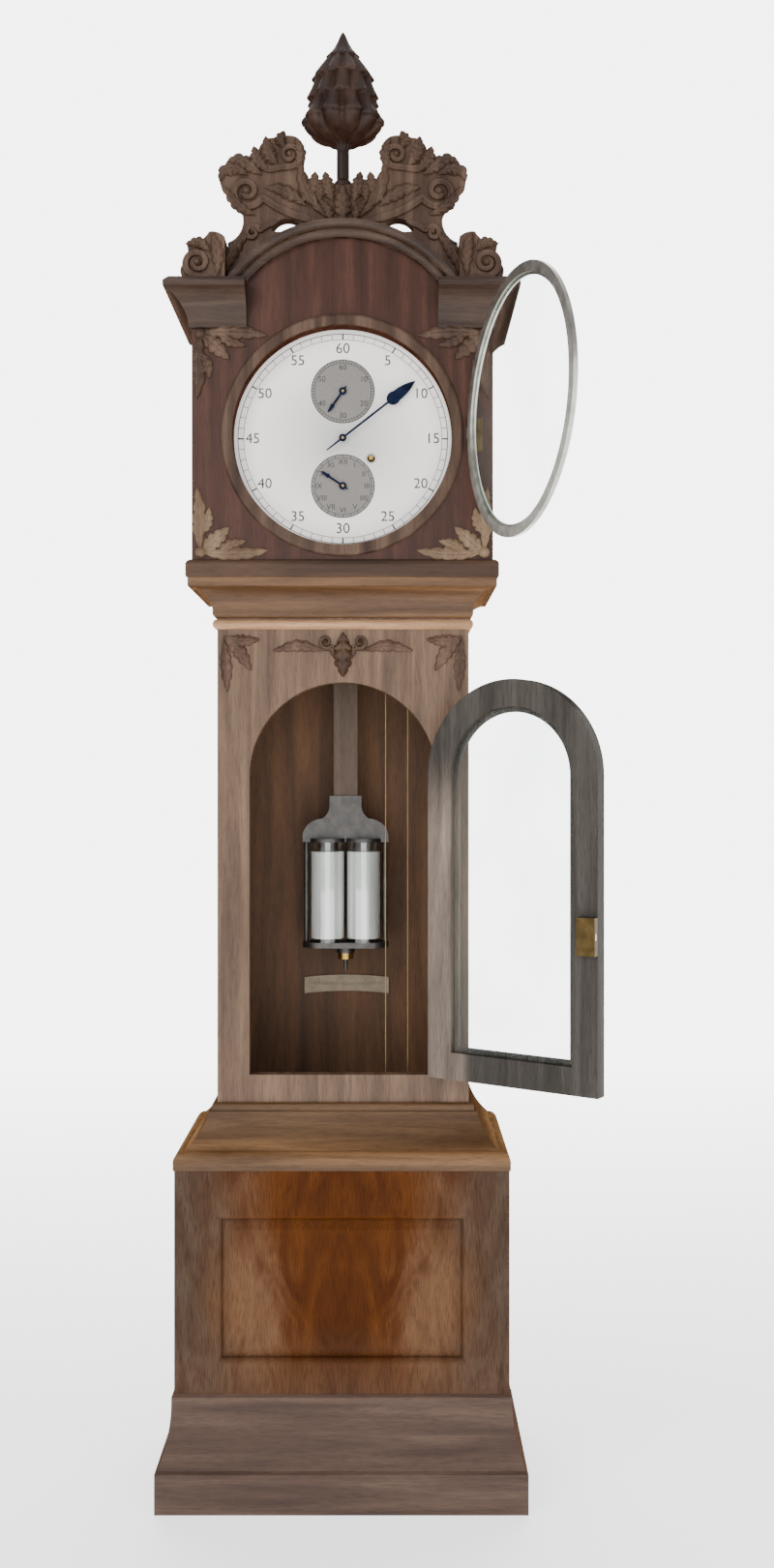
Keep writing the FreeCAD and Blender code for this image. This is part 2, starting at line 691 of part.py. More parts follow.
def hinge_heights():
    return (door_bottom + HINGE_INSET, spring_line - HINGE_INSET)


def knuckle(axis, z0, z1):
    """Rolled knuckle round a hinge axis."""
    outer = post(KNUCKLE_RADIUS, axis.x, axis.y, z0, z1)
    return outer.cut(post(PIN_RADIUS + PIN_CLEARANCE, axis.x, axis.y, z0, z1))


def leaf_pieces(fixed):
    """Two butt hinge leaves: the fixed leaf has the outer knuckles, the door's leaf the middle one."""
    third = HINGE_LENGTH / 3
    leaves = []
    for z in hinge_heights():
        if fixed:
            spans = [(z, z + third - KNUCKLE_GAP), (z + 2 * third + KNUCKLE_GAP, z + HINGE_LENGTH)]
            x1 = opening_half
            x0 = x1 - LEAF_THICKNESS
        else:
            spans = [(z + third, z + 2 * third)]
            x0 = door_half
            x1 = x0 + LEAF_THICKNESS
        pieces = [box(x0, x1, trunk_front, trunk_inside, z, z + HINGE_LENGTH)]
        for z0, z1 in spans:
            web = box(x0, x1, door_axis.y, trunk_front, z0, z1)
            web = web.cut(post(PIN_RADIUS + PIN_CLEARANCE, door_axis.x, door_axis.y, z0, z1))
            pieces += [knuckle(door_axis, z0, z1), web]
        leaves.append(fused(pieces))
    return leaves


def opened_door(shapes):
    for shape in shapes:
        shape.rotate(door_axis, Vector(0, 0, 1), DOOR_OPEN_ANGLE)
    return shapes


def door_section():
    """Door member from its sight edge outwards: ovolo at the front, glass rebate at the back."""
    return [(0, trunk_front + DOOR_OVOLO, 0.2), (0, trunk_inside - DOOR_REBATE_DEPTH),
            (DOOR_REBATE, trunk_inside - DOOR_REBATE_DEPTH), (DOOR_REBATE, trunk_inside),
            (DOOR_FRAME, trunk_inside), (DOOR_FRAME, trunk_front), (DOOR_OVOLO, trunk_front)]


def door_frame():
    """Stiles and rail mitred at the foot, and the arched head turned from the same section."""
    sight = door_half - DOOR_FRAME
    low = door_bottom
    section = door_section()
    upright = Part.Face(outline(section, lambda u, v: Vector(sight + u, v, low)))
    upright = upright.extrude(Vector(0, 0, spring_line - low))
    level = Part.Face(outline(section, lambda u, v: Vector(-door_half, v, low + DOOR_FRAME - u)))
    level = level.extrude(Vector(2 * door_half, 0, 0))
    side_zone = [Vector(door_half, 0, low), Vector(door_half, 0, spring_line), Vector(sight, 0, spring_line),
                 Vector(sight, 0, low + DOOR_FRAME)]
    foot_zone = [Vector(-door_half, 0, low), Vector(door_half, 0, low), Vector(sight, 0, low + DOOR_FRAME),
                 Vector(-sight, 0, low + DOOR_FRAME)]
    lengths = []
    for bar, zone in ((upright, side_zone), (level, foot_zone)):
        zone = [Vector(corner.x, trunk_front, corner.z) for corner in zone]
        cutter = Part.Face(Part.makePolygon(zone + zone[:1])).extrude(Vector(0, FRONT_FRAME, 0))
        lengths.append(bar.common(cutter))
    head_face = Part.Face(outline(section, lambda u, v: Vector(sight + u, v, spring_line)))
    head = head_face.revolve(Vector(0, 0, spring_line), Vector(0, 1, 0), -180)
    stile, rail = lengths
    return opened_door(pair(stile) + [rail, head])


def door_glass():
    """Arched pane in the rebate."""
    half = door_half - DOOR_FRAME + DOOR_REBATE - GLASS_CLEARANCE
    low = door_bottom + DOOR_FRAME - DOOR_REBATE + GLASS_CLEARANCE
    face = trunk_inside - DOOR_REBATE_DEPTH
    pane = slab([(-half, low), (half, low), (half, spring_line), (-half, spring_line, -0.5)],
                face, face + DOOR_GLASS)
    return opened_door([pane])


def lock_z():
    return (door_bottom + spring_line) / 2


def door_lock():
    """Brass lock case on the inside of the door's free stile, and the escutcheon on its outside."""
    edge = -door_half
    case = box(edge, edge + LOCK_WIDTH, trunk_inside, trunk_inside + LOCK_DEPTH,
               lock_z() - LOCK_HEIGHT / 2, lock_z() + LOCK_HEIGHT / 2)
    case = case.cut(bolt_block(BOLT_CLEARANCE, 0))
    keyhole_x = edge + DOOR_FRAME / 2
    plate = box(keyhole_x - ESCUTCHEON_WIDTH / 2, keyhole_x + ESCUTCHEON_WIDTH / 2,
                trunk_front - ESCUTCHEON_THICKNESS, trunk_front,
                lock_z() - ESCUTCHEON_HEIGHT / 2, lock_z() + ESCUTCHEON_HEIGHT / 2)
    upright = [side for side in plate.Edges if abs(side.tangentAt(side.FirstParameter).y) > 0.9]
    plate = plate.makeFillet(ESCUTCHEON_WIDTH / 2 - ESCUTCHEON_FLAT, upright)
    keyhole = rod(KEYHOLE_RADIUS, keyhole_x, lock_z(), trunk_front - ESCUTCHEON_THICKNESS, trunk_front)
    plate = plate.cut(keyhole)
    return opened_door([case, plate])


def bolt_block(clearance, inset):
    """The bolt, or with a clearance the way that it slides in through the lock case."""
    edge = -door_half + inset
    middle = trunk_inside + LOCK_DEPTH / 2
    return box(edge, edge + BOLT_LENGTH + clearance, middle - BOLT_THICKNESS / 2 - clearance,
               middle + BOLT_THICKNESS / 2 + clearance,
               lock_z() - BOLT_HEIGHT / 2 - clearance, lock_z() + BOLT_HEIGHT / 2 + clearance)


def hood_front_board():
    """Board with the round dial opening, its top arched over the dial between the shoulders."""
    board = slab([(-half_hood, neck_top), (half_hood, neck_top), (half_hood, shoulder), (arch_foot, shoulder),
                  (-arch_foot, shoulder, -ARCH_RISE / (2 * arch_foot)), (-half_hood, shoulder)],
                 hood_front, hood_inside)
    return [board.cut(rod(dial_opening, 0, dial_z, hood_front, hood_inside))]


def hood_band():
    """Band round the foot of the hood."""
    top = neck_top + HOOD_BAND_HEIGHT
    section = [(0, neck_top), (HOOD_BAND - BAND_NOSE, neck_top), (HOOD_BAND, neck_top + BAND_NOSE, -0.2),
               (HOOD_BAND, top - HOOD_BAND), (0, top, -0.2)]
    return moulding(section, half_hood, hood_front, back)


def cornice():
    """Cornice with a pointed nose at the shoulders. Its front lengths stop under the arch's feet."""
    low = shoulder - CORNICE_HEIGHT
    section = [(0, low), (CORNICE_BEAD, low + CORNICE_BEAD, -0.2), (CORNICE_BEAD, low + 2 * CORNICE_BEAD),
               (CORNICE_PROJECTION - CORNICE_FILLET, shoulder - 2.5 * CORNICE_FILLET, 0.1),
               (CORNICE_PROJECTION, shoulder - 2 * CORNICE_FILLET),
               (CORNICE_PROJECTION, shoulder - CORNICE_FILLET),
               (CORNICE_PROJECTION - CORNICE_FILLET, shoulder), (0, shoulder)]
    front_length, right_length, left_length = moulding(section, half_hood, hood_front, back)
    reach = half_hood + CORNICE_PROJECTION
    right_front = front_length.common(box(arch_inner_foot, reach, hood_front - CORNICE_PROJECTION, back,
                                          low, shoulder))
    return [right_length, left_length] + pair(right_front)


def arch_moulding():
    """Arched moulding over the dial, springing from the top of the cornice."""
    inner = arch_radius - ARCH_BAND
    section = [(inner, 0), (inner, -ARCH_PROJECTION / 3), (inner + ARCH_BAND / 2, -ARCH_PROJECTION / 2, 0.2),
               (arch_radius - CORNICE_BEAD, -ARCH_PROJECTION, -0.2), (arch_radius, -ARCH_PROJECTION),
               (arch_radius, 0)]
    ring = turned(section, Vector(0, hood_front, arch_centre), Vector(0, 1, 0), -180)
    zone = box(-arch_radius, arch_radius, hood_front - ARCH_PROJECTION, hood_front,
               shoulder, shoulder + ARCH_RISE)
    return [ring.common(zone)]


def shoulder_scrolls():
    """Scrolled block on each shoulder, outside the arch."""
    inner = crest_half + SHOULDER_GAP
    width = half_hood + SHOULDER_OVERHANG - inner
    tall = SHOULDER_HEIGHT
    shares = [(0, 0), (0.91, 0), (1, 0.3, -0.2), (0.88, 0.72, 0.15), (0.36, 1, 0.12), (0, 0.9, -0.12)]
    points = [(inner + width * share[0], shoulder + tall * share[1]) + share[2:] for share in shares]
    face = hood_front - CORNICE_PROJECTION / 3
    return pair(slab(points, face, face + SHOULDER_DEPTH))


def crest_board():
    """Pierced board behind the arch: drawn in to a neck, then out to two leaf scrolls with a gap
    between them for the finial's stem."""
    neck = shoulder + 0.46 * CREST_HEIGHT
    rise = crest_top - neck
    step = pedestal_top - CREST_PEDESTAL_STEP
    right = [(crest_half, shoulder), (crest_half, shoulder + 0.3 * CREST_HEIGHT), (crest_neck, neck, 0.18),
             (0.925 * crest_leaf, neck + 0.18 * rise, 0.2), (crest_leaf, neck + 0.38 * rise, 0.1),
             (0.95 * crest_leaf, neck + 0.63 * rise, -0.25), (0.93 * crest_neck, neck + 0.73 * rise, -0.2),
             (0.84 * crest_neck, neck + 0.85 * rise, 0.15), (0.66 * crest_neck, neck + 0.98 * rise, -0.2),
             (0.48 * crest_neck, crest_top, -0.1), (0.38 * crest_neck, neck + 0.81 * rise, -0.15),
             (0.36 * crest_neck, neck + 0.38 * rise, 0.08), (CREST_PEDESTAL, step, 0.2),
             (CREST_PEDESTAL, pedestal_top)]
    left = []
    flipped = list(reversed(right))
    for index, point in enumerate(flipped):
        bend = flipped[index - 1][2:] if index else ()
        left.append((-point[0], point[1]) + tuple(bend))
    board = slab(right + left, hood_inside, hood_inside + CREST_THICKNESS)
    reach = PIERCING_LENGTH / 2
    middle_x = crest_neck - PIERCING_INSET
    middle_z = shoulder + ARCH_RISE + PIERCING_HEIGHT / 3
    hole = slab([(middle_x - reach, middle_z, 0.12), (middle_x + reach, middle_z - PIERCING_HEIGHT / 2, 0.3)],
                hood_inside, hood_inside + CREST_THICKNESS)
    for piercing in pair(hole):
        board = board.cut(piercing)
    return [board]


def finial():
    """Turned spear: a slim stem, a wide leaf collar and a tapering bud."""
    stem = FINIAL_STEM_HEIGHT
    collar = FINIAL_COLLAR_RADIUS
    bud = FINIAL_HEIGHT - stem
    profile = [(0, 0), (FINIAL_STEM_RADIUS, 0), (FINIAL_STEM_RADIUS, stem),
               (collar, stem + 0.195 * bud, -0.08), (0.95 * collar, stem + 0.26 * bud, -0.2),
               (0.82 * collar, stem + 0.39 * bud, 0.06), (0.74 * collar, stem + 0.53 * bud, -0.05),
               (0.62 * collar, stem + 0.66 * bud, -0.06), (0.27 * collar, stem + 0.81 * bud, -0.1),
               (FINIAL_TIP_RADIUS, FINIAL_HEIGHT, 0.04), (0, FINIAL_HEIGHT)]
    return [turned(profile, Vector(0, finial_y, pedestal_top), Vector(0, 0, 1))]


def dial_surround():
    """Turned ring on the hood front that the bezel shuts against."""
    profile = [(dial_opening, 0), (dial_opening, -SURROUND_DEPTH),
               (surround_radius - SURROUND_DEPTH, -SURROUND_DEPTH), (surround_radius, 0, -0.2)]
    return [turned(profile, Vector(0, hood_front, dial_z), Vector(0, 1, 0))]


def bezel_hinge_bracket():
    """Plate on the hood front with two knuckle arms, and the pin through them."""
    half = BEZEL_HINGE_LENGTH / 2
    third = BEZEL_HINGE_LENGTH / 6
    inner = bezel_axis.x + KNUCKLE_RADIUS + BEZEL_ARM_GAP
    near = bezel_axis.y - BEZEL_ARM / 2
    pieces = [box(inner, inner + BEZEL_PLATE_WIDTH, hood_front - BEZEL_PLATE_THICKNESS, hood_front,
                  dial_z - half, dial_z + half)]
    spans = ((dial_z - half, dial_z - third - KNUCKLE_GAP), (dial_z + third + KNUCKLE_GAP, dial_z + half))
    for z0, z1 in spans:
        pieces.append(post(KNUCKLE_RADIUS, bezel_axis.x, bezel_axis.y, z0, z1))
        pieces.append(box(bezel_axis.x, inner + BEZEL_ARM, near, near + BEZEL_ARM, z0, z1))
        pieces.append(box(inner, inner + BEZEL_ARM, near, hood_front, z0, z1))
    pieces.append(post(PIN_RADIUS, bezel_axis.x, bezel_axis.y, dial_z - half, dial_z + half))
    return [fused(pieces)]


def opened_bezel(shapes):
    for shape in shapes:
        shape.rotate(bezel_axis, Vector(0, 0, 1), BEZEL_OPEN_ANGLE)
    return shapes


def bezel_ring():
    """Brass ring with a rounded front, a rebate for the glass and the middle hinge knuckle."""
    crown = bezel_sight + BEZEL_WIDTH / 2
    profile = [(bezel_sight, -BEZEL_REBATE), (bezel_sight, -BEZEL_DEPTH + BEZEL_EDGE),
               (crown, -BEZEL_DEPTH, -0.15), (bezel_radius, -BEZEL_DEPTH + BEZEL_EDGE, -0.15),
               (bezel_radius, 0), (bezel_sight + BEZEL_REBATE, 0),
               (bezel_sight + BEZEL_REBATE, -BEZEL_REBATE)]
    ring = turned(profile, Vector(0, bezel_back, dial_z), Vector(0, 1, 0))
    third = BEZEL_HINGE_LENGTH / 6
    lug = box(bezel_radius - BEZEL_EDGE, bezel_axis.x, bezel_axis.y - BEZEL_ARM / 2,
              bezel_axis.y + BEZEL_ARM / 2, dial_z - third, dial_z + third)
    barrel = post(KNUCKLE_RADIUS, bezel_axis.x, bezel_axis.y, dial_z - third, dial_z + third)
    bore = post(PIN_RADIUS + PIN_CLEARANCE, bezel_axis.x, bezel_axis.y, dial_z - third, dial_z + third)
    return opened_bezel([fused([ring, lug, barrel]).cut(bore)])


def bezel_glass():
    """Flat round glass in the bezel's rebate."""
    radius = bezel_sight + BEZEL_REBATE - GLASS_CLEARANCE
    face = bezel_back - BEZEL_REBATE
    return opened_bezel([rod(radius, 0, dial_z, face, face + BEZEL_GLASS)])


def dial_plate():
    """Silvered dial with four feet to the front plate, and holes for the three hands and the key."""
    plate = rod(dial_radius, 0, dial_z, dial_front, dial_back)
    foot_x = PLATE_WIDTH / 2 - 2 * PILLAR_INSET
    feet = [rod(DIAL_FOOT_RADIUS, x, z, dial_back, plate_front)
            for x in (-foot_x, foot_x)
            for z in (dial_z - PLATE_BELOW_DIAL + PILLAR_INSET, dial_z + PLATE_ABOVE_DIAL - 2 * PILLAR_INSET)]
    plate = fused([plate] + feet)
    for x, z, radius in ((0, dial_z, 2 * PIVOT_RADIUS), (0, seconds_z, 2 * PIVOT_RADIUS),
                         (0, hours_z, 2 * PIVOT_RADIUS), (barrel_x, barrel_z, WINDING_SQUARE)):
        plate = plate.cut(rod(radius, x, z, dial_front, dial_back))
    return [plate]


def movement_plate(y0, holes):
    plate = box(-PLATE_WIDTH / 2, PLATE_WIDTH / 2, y0, y0 + PLATE_THICKNESS, seat_top,
                dial_z + PLATE_ABOVE_DIAL)
    for x, z, radius in holes:
        plate = plate.cut(rod(radius, x, z, y0, y0 + PLATE_THICKNESS))
    return [plate]


def pivot_holes():
    running = PIVOT_RADIUS + PIVOT_CLEARANCE
    holes = [(x, z, running) for x, z in arbors[:3]]
    return holes + [(barrel_x, barrel_z, BARREL_ARBOR_RADIUS + PIVOT_CLEARANCE)]


def front_plate():
    running = PIVOT_RADIUS + PIVOT_CLEARANCE
    return movement_plate(plate_front, pivot_holes() + [(0, axis_z, running), (0, hours_z, running),
                                                        (minute_x, minute_z, running)])


def back_plate():
    return movement_plate(train_back, pivot_holes() + [(0, axis_z, 2 * ARBOR_RADIUS)])


def plate_pillars():
    x = PLATE_WIDTH / 2 - PILLAR_INSET
    return [rod(PILLAR_RADIUS, side * x, z, train_front, train_back)
            for side in (-1, 1)
            for z in (seat_top + PILLAR_INSET, dial_z + PLATE_ABOVE_DIAL - PILLAR_INSET)]


def back_cock():
    """Bridge behind the back plate for the pallet arbor's rear pivot."""
    low = axis_z - COCK_HEIGHT / 2
    high = axis_z + COCK_HEIGHT / 2
    face = plate_back + COCK_STAND_OFF
    foot = box(COCK_HALF_WIDTH - COCK_FOOT, COCK_HALF_WIDTH, plate_back, face, low, high)
    bridge = box(-COCK_HALF_WIDTH, COCK_HALF_WIDTH, face, face + COCK_THICKNESS, low, high)
    cock = fused([bridge] + pair(foot))
    return [cock.cut(rod(PIVOT_RADIUS + PIVOT_CLEARANCE, 0, axis_z, face, face + COCK_THICKNESS))]


def suspension_bracket():
    """Cast bracket on the backboard that clamps the suspension spring above the swing axis."""
    low = axis_z + SPRING_ABOVE_AXIS / 2
    plate = box(-BRACKET_HALF_WIDTH, BRACKET_HALF_WIDTH, board_face - BRACKET_PLATE, board_face,
                low, low + BRACKET_HEIGHT)
    arm = box(-BRACKET_ARM / 2, BRACKET_ARM / 2, pendulum_y, board_face - BRACKET_PLATE,
              low, low + 2 * BRACKET_ARM)
    jaw = box(-BRACKET_ARM, BRACKET_ARM, pendulum_y - SPRING_WIDTH, pendulum_y + SPRING_WIDTH,
              low, low + 2 * BRACKET_ARM)
    slot_half = SPRING_THICKNESS / 2 + SPRING_SLOT_GAP
    slot = box(-slot_half, slot_half, pendulum_y - SPRING_WIDTH / 2 - SPRING_SLOT_GAP,
               pendulum_y + SPRING_WIDTH / 2 + SPRING_SLOT_GAP,
               low, axis_z + SPRING_ABOVE_AXIS + SPRING_SLOT_GAP)
    return [fused([plate, arm, jaw]).cut(slot)]


def suspension_spring():
    half = SPRING_THICKNESS / 2
    return [box(-half, half, pendulum_y - SPRING_WIDTH / 2, pendulum_y + SPRING_WIDTH / 2,
                axis_z - CHOPS_BELOW_AXIS, axis_z + SPRING_ABOVE_AXIS)]


def pendulum_rod():
    """Flat varnished deal rod with a thicker head, which the spring's lower end stands on."""
    top = axis_z - CHOPS_BELOW_AXIS
    head = box(-ROD_WIDTH / 2, ROD_WIDTH / 2, pendulum_y - SPRING_WIDTH / 2, pendulum_y + SPRING_WIDTH / 2,
               top - CHOPS_HEIGHT, top)
    bar = box(-ROD_WIDTH / 2, ROD_WIDTH / 2, pendulum_y - ROD_THICKNESS / 2, pendulum_y + ROD_THICKNESS / 2,
              yoke_top, top - CHOPS_HEIGHT)
    return [fused([head, bar])]


def jar_frame():
    """Ogee yoke under the rod, two side rods and the tray that the jars stand in, with the rating screw."""
    half_yoke = YOKE_THICKNESS / 2
    foot = yoke_bottom + YOKE_FOOT
    neck = YOKE_NECK / 2
    right = [(tray_half, yoke_bottom), (tray_half, foot),
             (0.55 * tray_half, foot + 0.35 * YOKE_HEIGHT, -0.18), (neck, yoke_top - YOKE_FOOT, 0.15),
             (neck, yoke_top)]
    left = [(-neck, yoke_top), (-neck, yoke_top - YOKE_FOOT),
            (-0.55 * tray_half, foot + 0.35 * YOKE_HEIGHT, 0.15), (-tray_half, foot, -0.18),
            (-tray_half, yoke_bottom)]
    yoke = slab(right + left, pendulum_y - half_yoke, pendulum_y + half_yoke)
    lids = [post(JAR_RADIUS, x, pendulum_y, yoke_bottom, yoke_bottom + YOKE_FOOT / 2) for x in jar_centres()]
    rods = [post(FRAME_ROD_RADIUS, x, pendulum_y, tray_bottom, foot) for x in (-frame_rod_x, frame_rod_x)]
    end = tray_half - JAR_RADIUS
    tray = box(-end, end, pendulum_y - JAR_RADIUS, pendulum_y + JAR_RADIUS, tray_bottom, jar_bottom)
    ends = [post(JAR_RADIUS, x, pendulum_y, tray_bottom, jar_bottom) for x in (-end, end)]
    boss = post(BOSS_RADIUS, 0, pendulum_y, tray_bottom - NUT_HEIGHT, tray_bottom)
    screw = Part.makeCone(SCREW_TIP_RADIUS, SCREW_RADIUS, BOSS_RADIUS, Vector(0, pendulum_y, screw_bottom))
    stem = post(SCREW_RADIUS, 0, pendulum_y, screw_bottom + BOSS_RADIUS, tray_bottom)
    return [fused([yoke] + lids + rods + [tray] + ends + [boss, stem, screw])]


def rating_nut():
    """Knurled nut on the rating screw."""
    top = tray_bottom - NUT_HEIGHT - END_SHAKE
    nut = post(NUT_RADIUS, 0, pendulum_y, top - NUT_HEIGHT, top)
    return [nut.cut(post(SCREW_RADIUS + NUT_CLEARANCE, 0, pendulum_y, top - NUT_HEIGHT, top))]


def jar_centres():
    return [-JAR_SPACING / 2, JAR_SPACING / 2]


def mercury_jars():
    jars = []
    for x in jar_centres():
        jar = post(JAR_RADIUS, x, pendulum_y, jar_bottom, jar_top)
        jars.append(jar.cut(post(JAR_RADIUS - JAR_WALL, x, pendulum_y, jar_bottom + JAR_BASE, jar_top)))
    return jars


def mercury():
    radius = JAR_RADIUS - JAR_WALL - MERCURY_CLEARANCE
    return [post(radius, x, pendulum_y, jar_bottom + JAR_BASE, jar_top - MERCURY_FREEBOARD)
            for x in jar_centres()]


def centre_arbor():
    """Arbor of the minute hand, with the pinion that the great wheel drives, the centre wheel and, in
    front of the plate, the cannon pinion of the motion work."""
    leaf_phase = mesh_phases(barrel_x, barrel_z, 0, dial_z, PINION_LEAVES)[1]
    tooth_phase = mesh_phases(0, dial_z, third_x, third_z, PINION_LEAVES)[0]
    cannon_phase = mesh_phases(0, dial_z, minute_x, minute_z, MINUTE_TEETH)[0]
    middle = great_wheel_y + WHEEL_THICKNESS / 2
    shaft = arbor(0, dial_z, minute_hand_y - HAND_STUB, plate_back)
    leaves = pinion(PINION_LEAVES, GREAT_MODULE, leaf_phase, 0, dial_z,
                    middle - PINION_LENGTH / 2, middle + PINION_LENGTH / 2)
    rim = wheel(CENTRE_TEETH, CENTRE_MODULE, tooth_phase, 0, dial_z, centre_wheel_y, ARBOR_RADIUS)
    middle = minute_wheel_y + WHEEL_THICKNESS / 2
    cannon = pinion(CANNON_TEETH, MINUTE_MODULE, cannon_phase, 0, dial_z,
                    middle - PINION_LENGTH / 2, middle + PINION_LENGTH / 2)
    return [fused([shaft, leaves, rim, cannon])]


def third_wheel():
    """Third wheel with its pinion at the other end of the arbor."""
    leaf_phase = mesh_phases(0, dial_z, third_x, third_z, PINION_LEAVES)[1]
    wheel_phase = mesh_phases(third_x, third_z, 0, seconds_z, PINION_LEAVES)[0]
    middle = centre_wheel_y + WHEEL_THICKNESS / 2
    leaves = pinion(PINION_LEAVES, CENTRE_MODULE, leaf_phase, third_x, third_z,
                    train_front + END_SHAKE, middle + PINION_LENGTH / 2)
    rim = wheel(THIRD_TEETH, THIRD_MODULE, wheel_phase, third_x, third_z, third_wheel_y, ARBOR_RADIUS)
    return [fused([arbor(third_x, third_z, plate_front, plate_back), leaves, rim])]


def escape_wheel():
    """Escape wheel with raked teeth, on the arbor that carries the seconds hand."""
    leaf_phase = mesh_phases(third_x, third_z, 0, seconds_z, PINION_LEAVES)[1]
    middle = third_wheel_y + WHEEL_THICKNESS / 2
    leaves = pinion(PINION_LEAVES, THIRD_MODULE, leaf_phase, 0, seconds_z,
                    middle - PINION_LENGTH / 2, middle + PINION_LENGTH / 2)
    step = 2 * math.pi / ESCAPE_TEETH
    root = ESCAPE_RADIUS - ESCAPE_TOOTH
    points = []
    for tooth in range(ESCAPE_TEETH):
        for radius, turn in ((root, 0.0), (ESCAPE_RADIUS, 0.55), (ESCAPE_RADIUS, 0.65), (root, 0.7)):
            angle = (tooth + turn) * step
            points.append(Vector(radius * math.cos(angle), escape_wheel_y,
                                 seconds_z + radius * math.sin(angle)))
    rim = wheel_from(points, root - WHEEL_RIM, 0, seconds_z, escape_wheel_y, escape_wheel_y + WHEEL_THICKNESS,
                     ARBOR_RADIUS)
    return [fused([arbor(0, seconds_z, small_hand_y - HAND_STUB, plate_back), leaves, rim])]


def minute_wheel():
    """Wheel and pinion of the motion work, on a stud in the front plate."""
    wheel_phase = mesh_phases(0, dial_z, minute_x, minute_z, MINUTE_TEETH)[1]
    leaf_phase = mesh_phases(minute_x, minute_z, 0, hours_z, HOUR_TEETH)[0]
    rim = wheel(MINUTE_TEETH, MINUTE_MODULE, wheel_phase, minute_x, minute_z, minute_wheel_y, ARBOR_RADIUS)
    middle = hour_wheel_y + WHEEL_THICKNESS / 2
    leaves = pinion(CANNON_TEETH, HOUR_MODULE, leaf_phase, minute_x, minute_z,
                    middle - PINION_LENGTH / 2, middle + PINION_LENGTH / 2)
    body = rod(ARBOR_RADIUS, minute_x, minute_z, hour_wheel_y - ARBOR_RADIUS, plate_front - END_SHAKE)
    pivot = rod(PIVOT_RADIUS, minute_x, minute_z, hour_wheel_y, train_front)
    return [fused([body, pivot, rim, leaves])]


def hour_wheel():
    """Wheel and arbor of the hour hand."""
    hour_phase = mesh_phases(minute_x, minute_z, 0, hours_z, HOUR_TEETH)[1]
    rim = wheel(HOUR_TEETH, HOUR_MODULE, hour_phase, 0, hours_z, hour_wheel_y, ARBOR_RADIUS)
    body = rod(ARBOR_RADIUS, 0, hours_z, dial_back + END_SHAKE, plate_front - END_SHAKE)
    pivot = rod(PIVOT_RADIUS, 0, hours_z, small_hand_y - HAND_STUB, train_front)
    return [fused([body, pivot, rim])]


def great_wheel():
    """Great wheel, free on the barrel arbor, with the click that holds the ratchet."""
    great_phase = mesh_phases(barrel_x, barrel_z, 0, dial_z, PINION_LEAVES)[0]
    rim = wheel(GREAT_TEETH, GREAT_MODULE, great_phase, barrel_x, barrel_z, great_wheel_y,
                BARREL_ARBOR_RADIUS + PIVOT_CLEARANCE)
    reach = RATCHET_RADIUS + END_SHAKE
    click = box(barrel_x - CLICK_WIDTH / 2, barrel_x + CLICK_WIDTH / 2, great_wheel_y - CLICK_THICKNESS,
                great_wheel_y, barrel_z + reach, barrel_z + GREAT_TEETH * GREAT_MODULE / 2 - WHEEL_RIM)
    return [fused([rim, click])]


def barrel():
    """Line barrel with flanges and ratchet on its arbor, squared in front of the dial for the key."""
    shaft = rod(BARREL_ARBOR_RADIUS, barrel_x, barrel_z, plate_front - END_SHAKE, plate_back)
    end = barrel_y + BARREL_LENGTH
    drum = rod(BARREL_RADIUS, barrel_x, barrel_z, barrel_y, end)
    flanges = [rod(BARREL_FLANGE, barrel_x, barrel_z, y, y + BARREL_FLANGE_THICKNESS)
               for y in (barrel_y, end - BARREL_FLANGE_THICKNESS)]
    step = 2 * math.pi / RATCHET_TEETH
    points = []
    for tooth in range(RATCHET_TEETH):
        for radius, turn in ((RATCHET_RADIUS, 0.0), (RATCHET_RADIUS - RATCHET_TOOTH, 0.02)):
            angle = (tooth + turn) * step
            points.append(Vector(barrel_x + radius * math.cos(angle), end,
                                 barrel_z + radius * math.sin(angle)))
    ratchet = Part.Face(Part.makePolygon(points + points[:1])).extrude(Vector(0, RATCHET_THICKNESS, 0))
    half = WINDING_SQUARE / 2
    square = box(barrel_x - half, barrel_x + half, dial_front - WINDING_SQUARE, plate_front - END_SHAKE,
                 barrel_z - half, barrel_z + half)
    return [fused([shaft, drum] + flanges + [ratchet, square])]


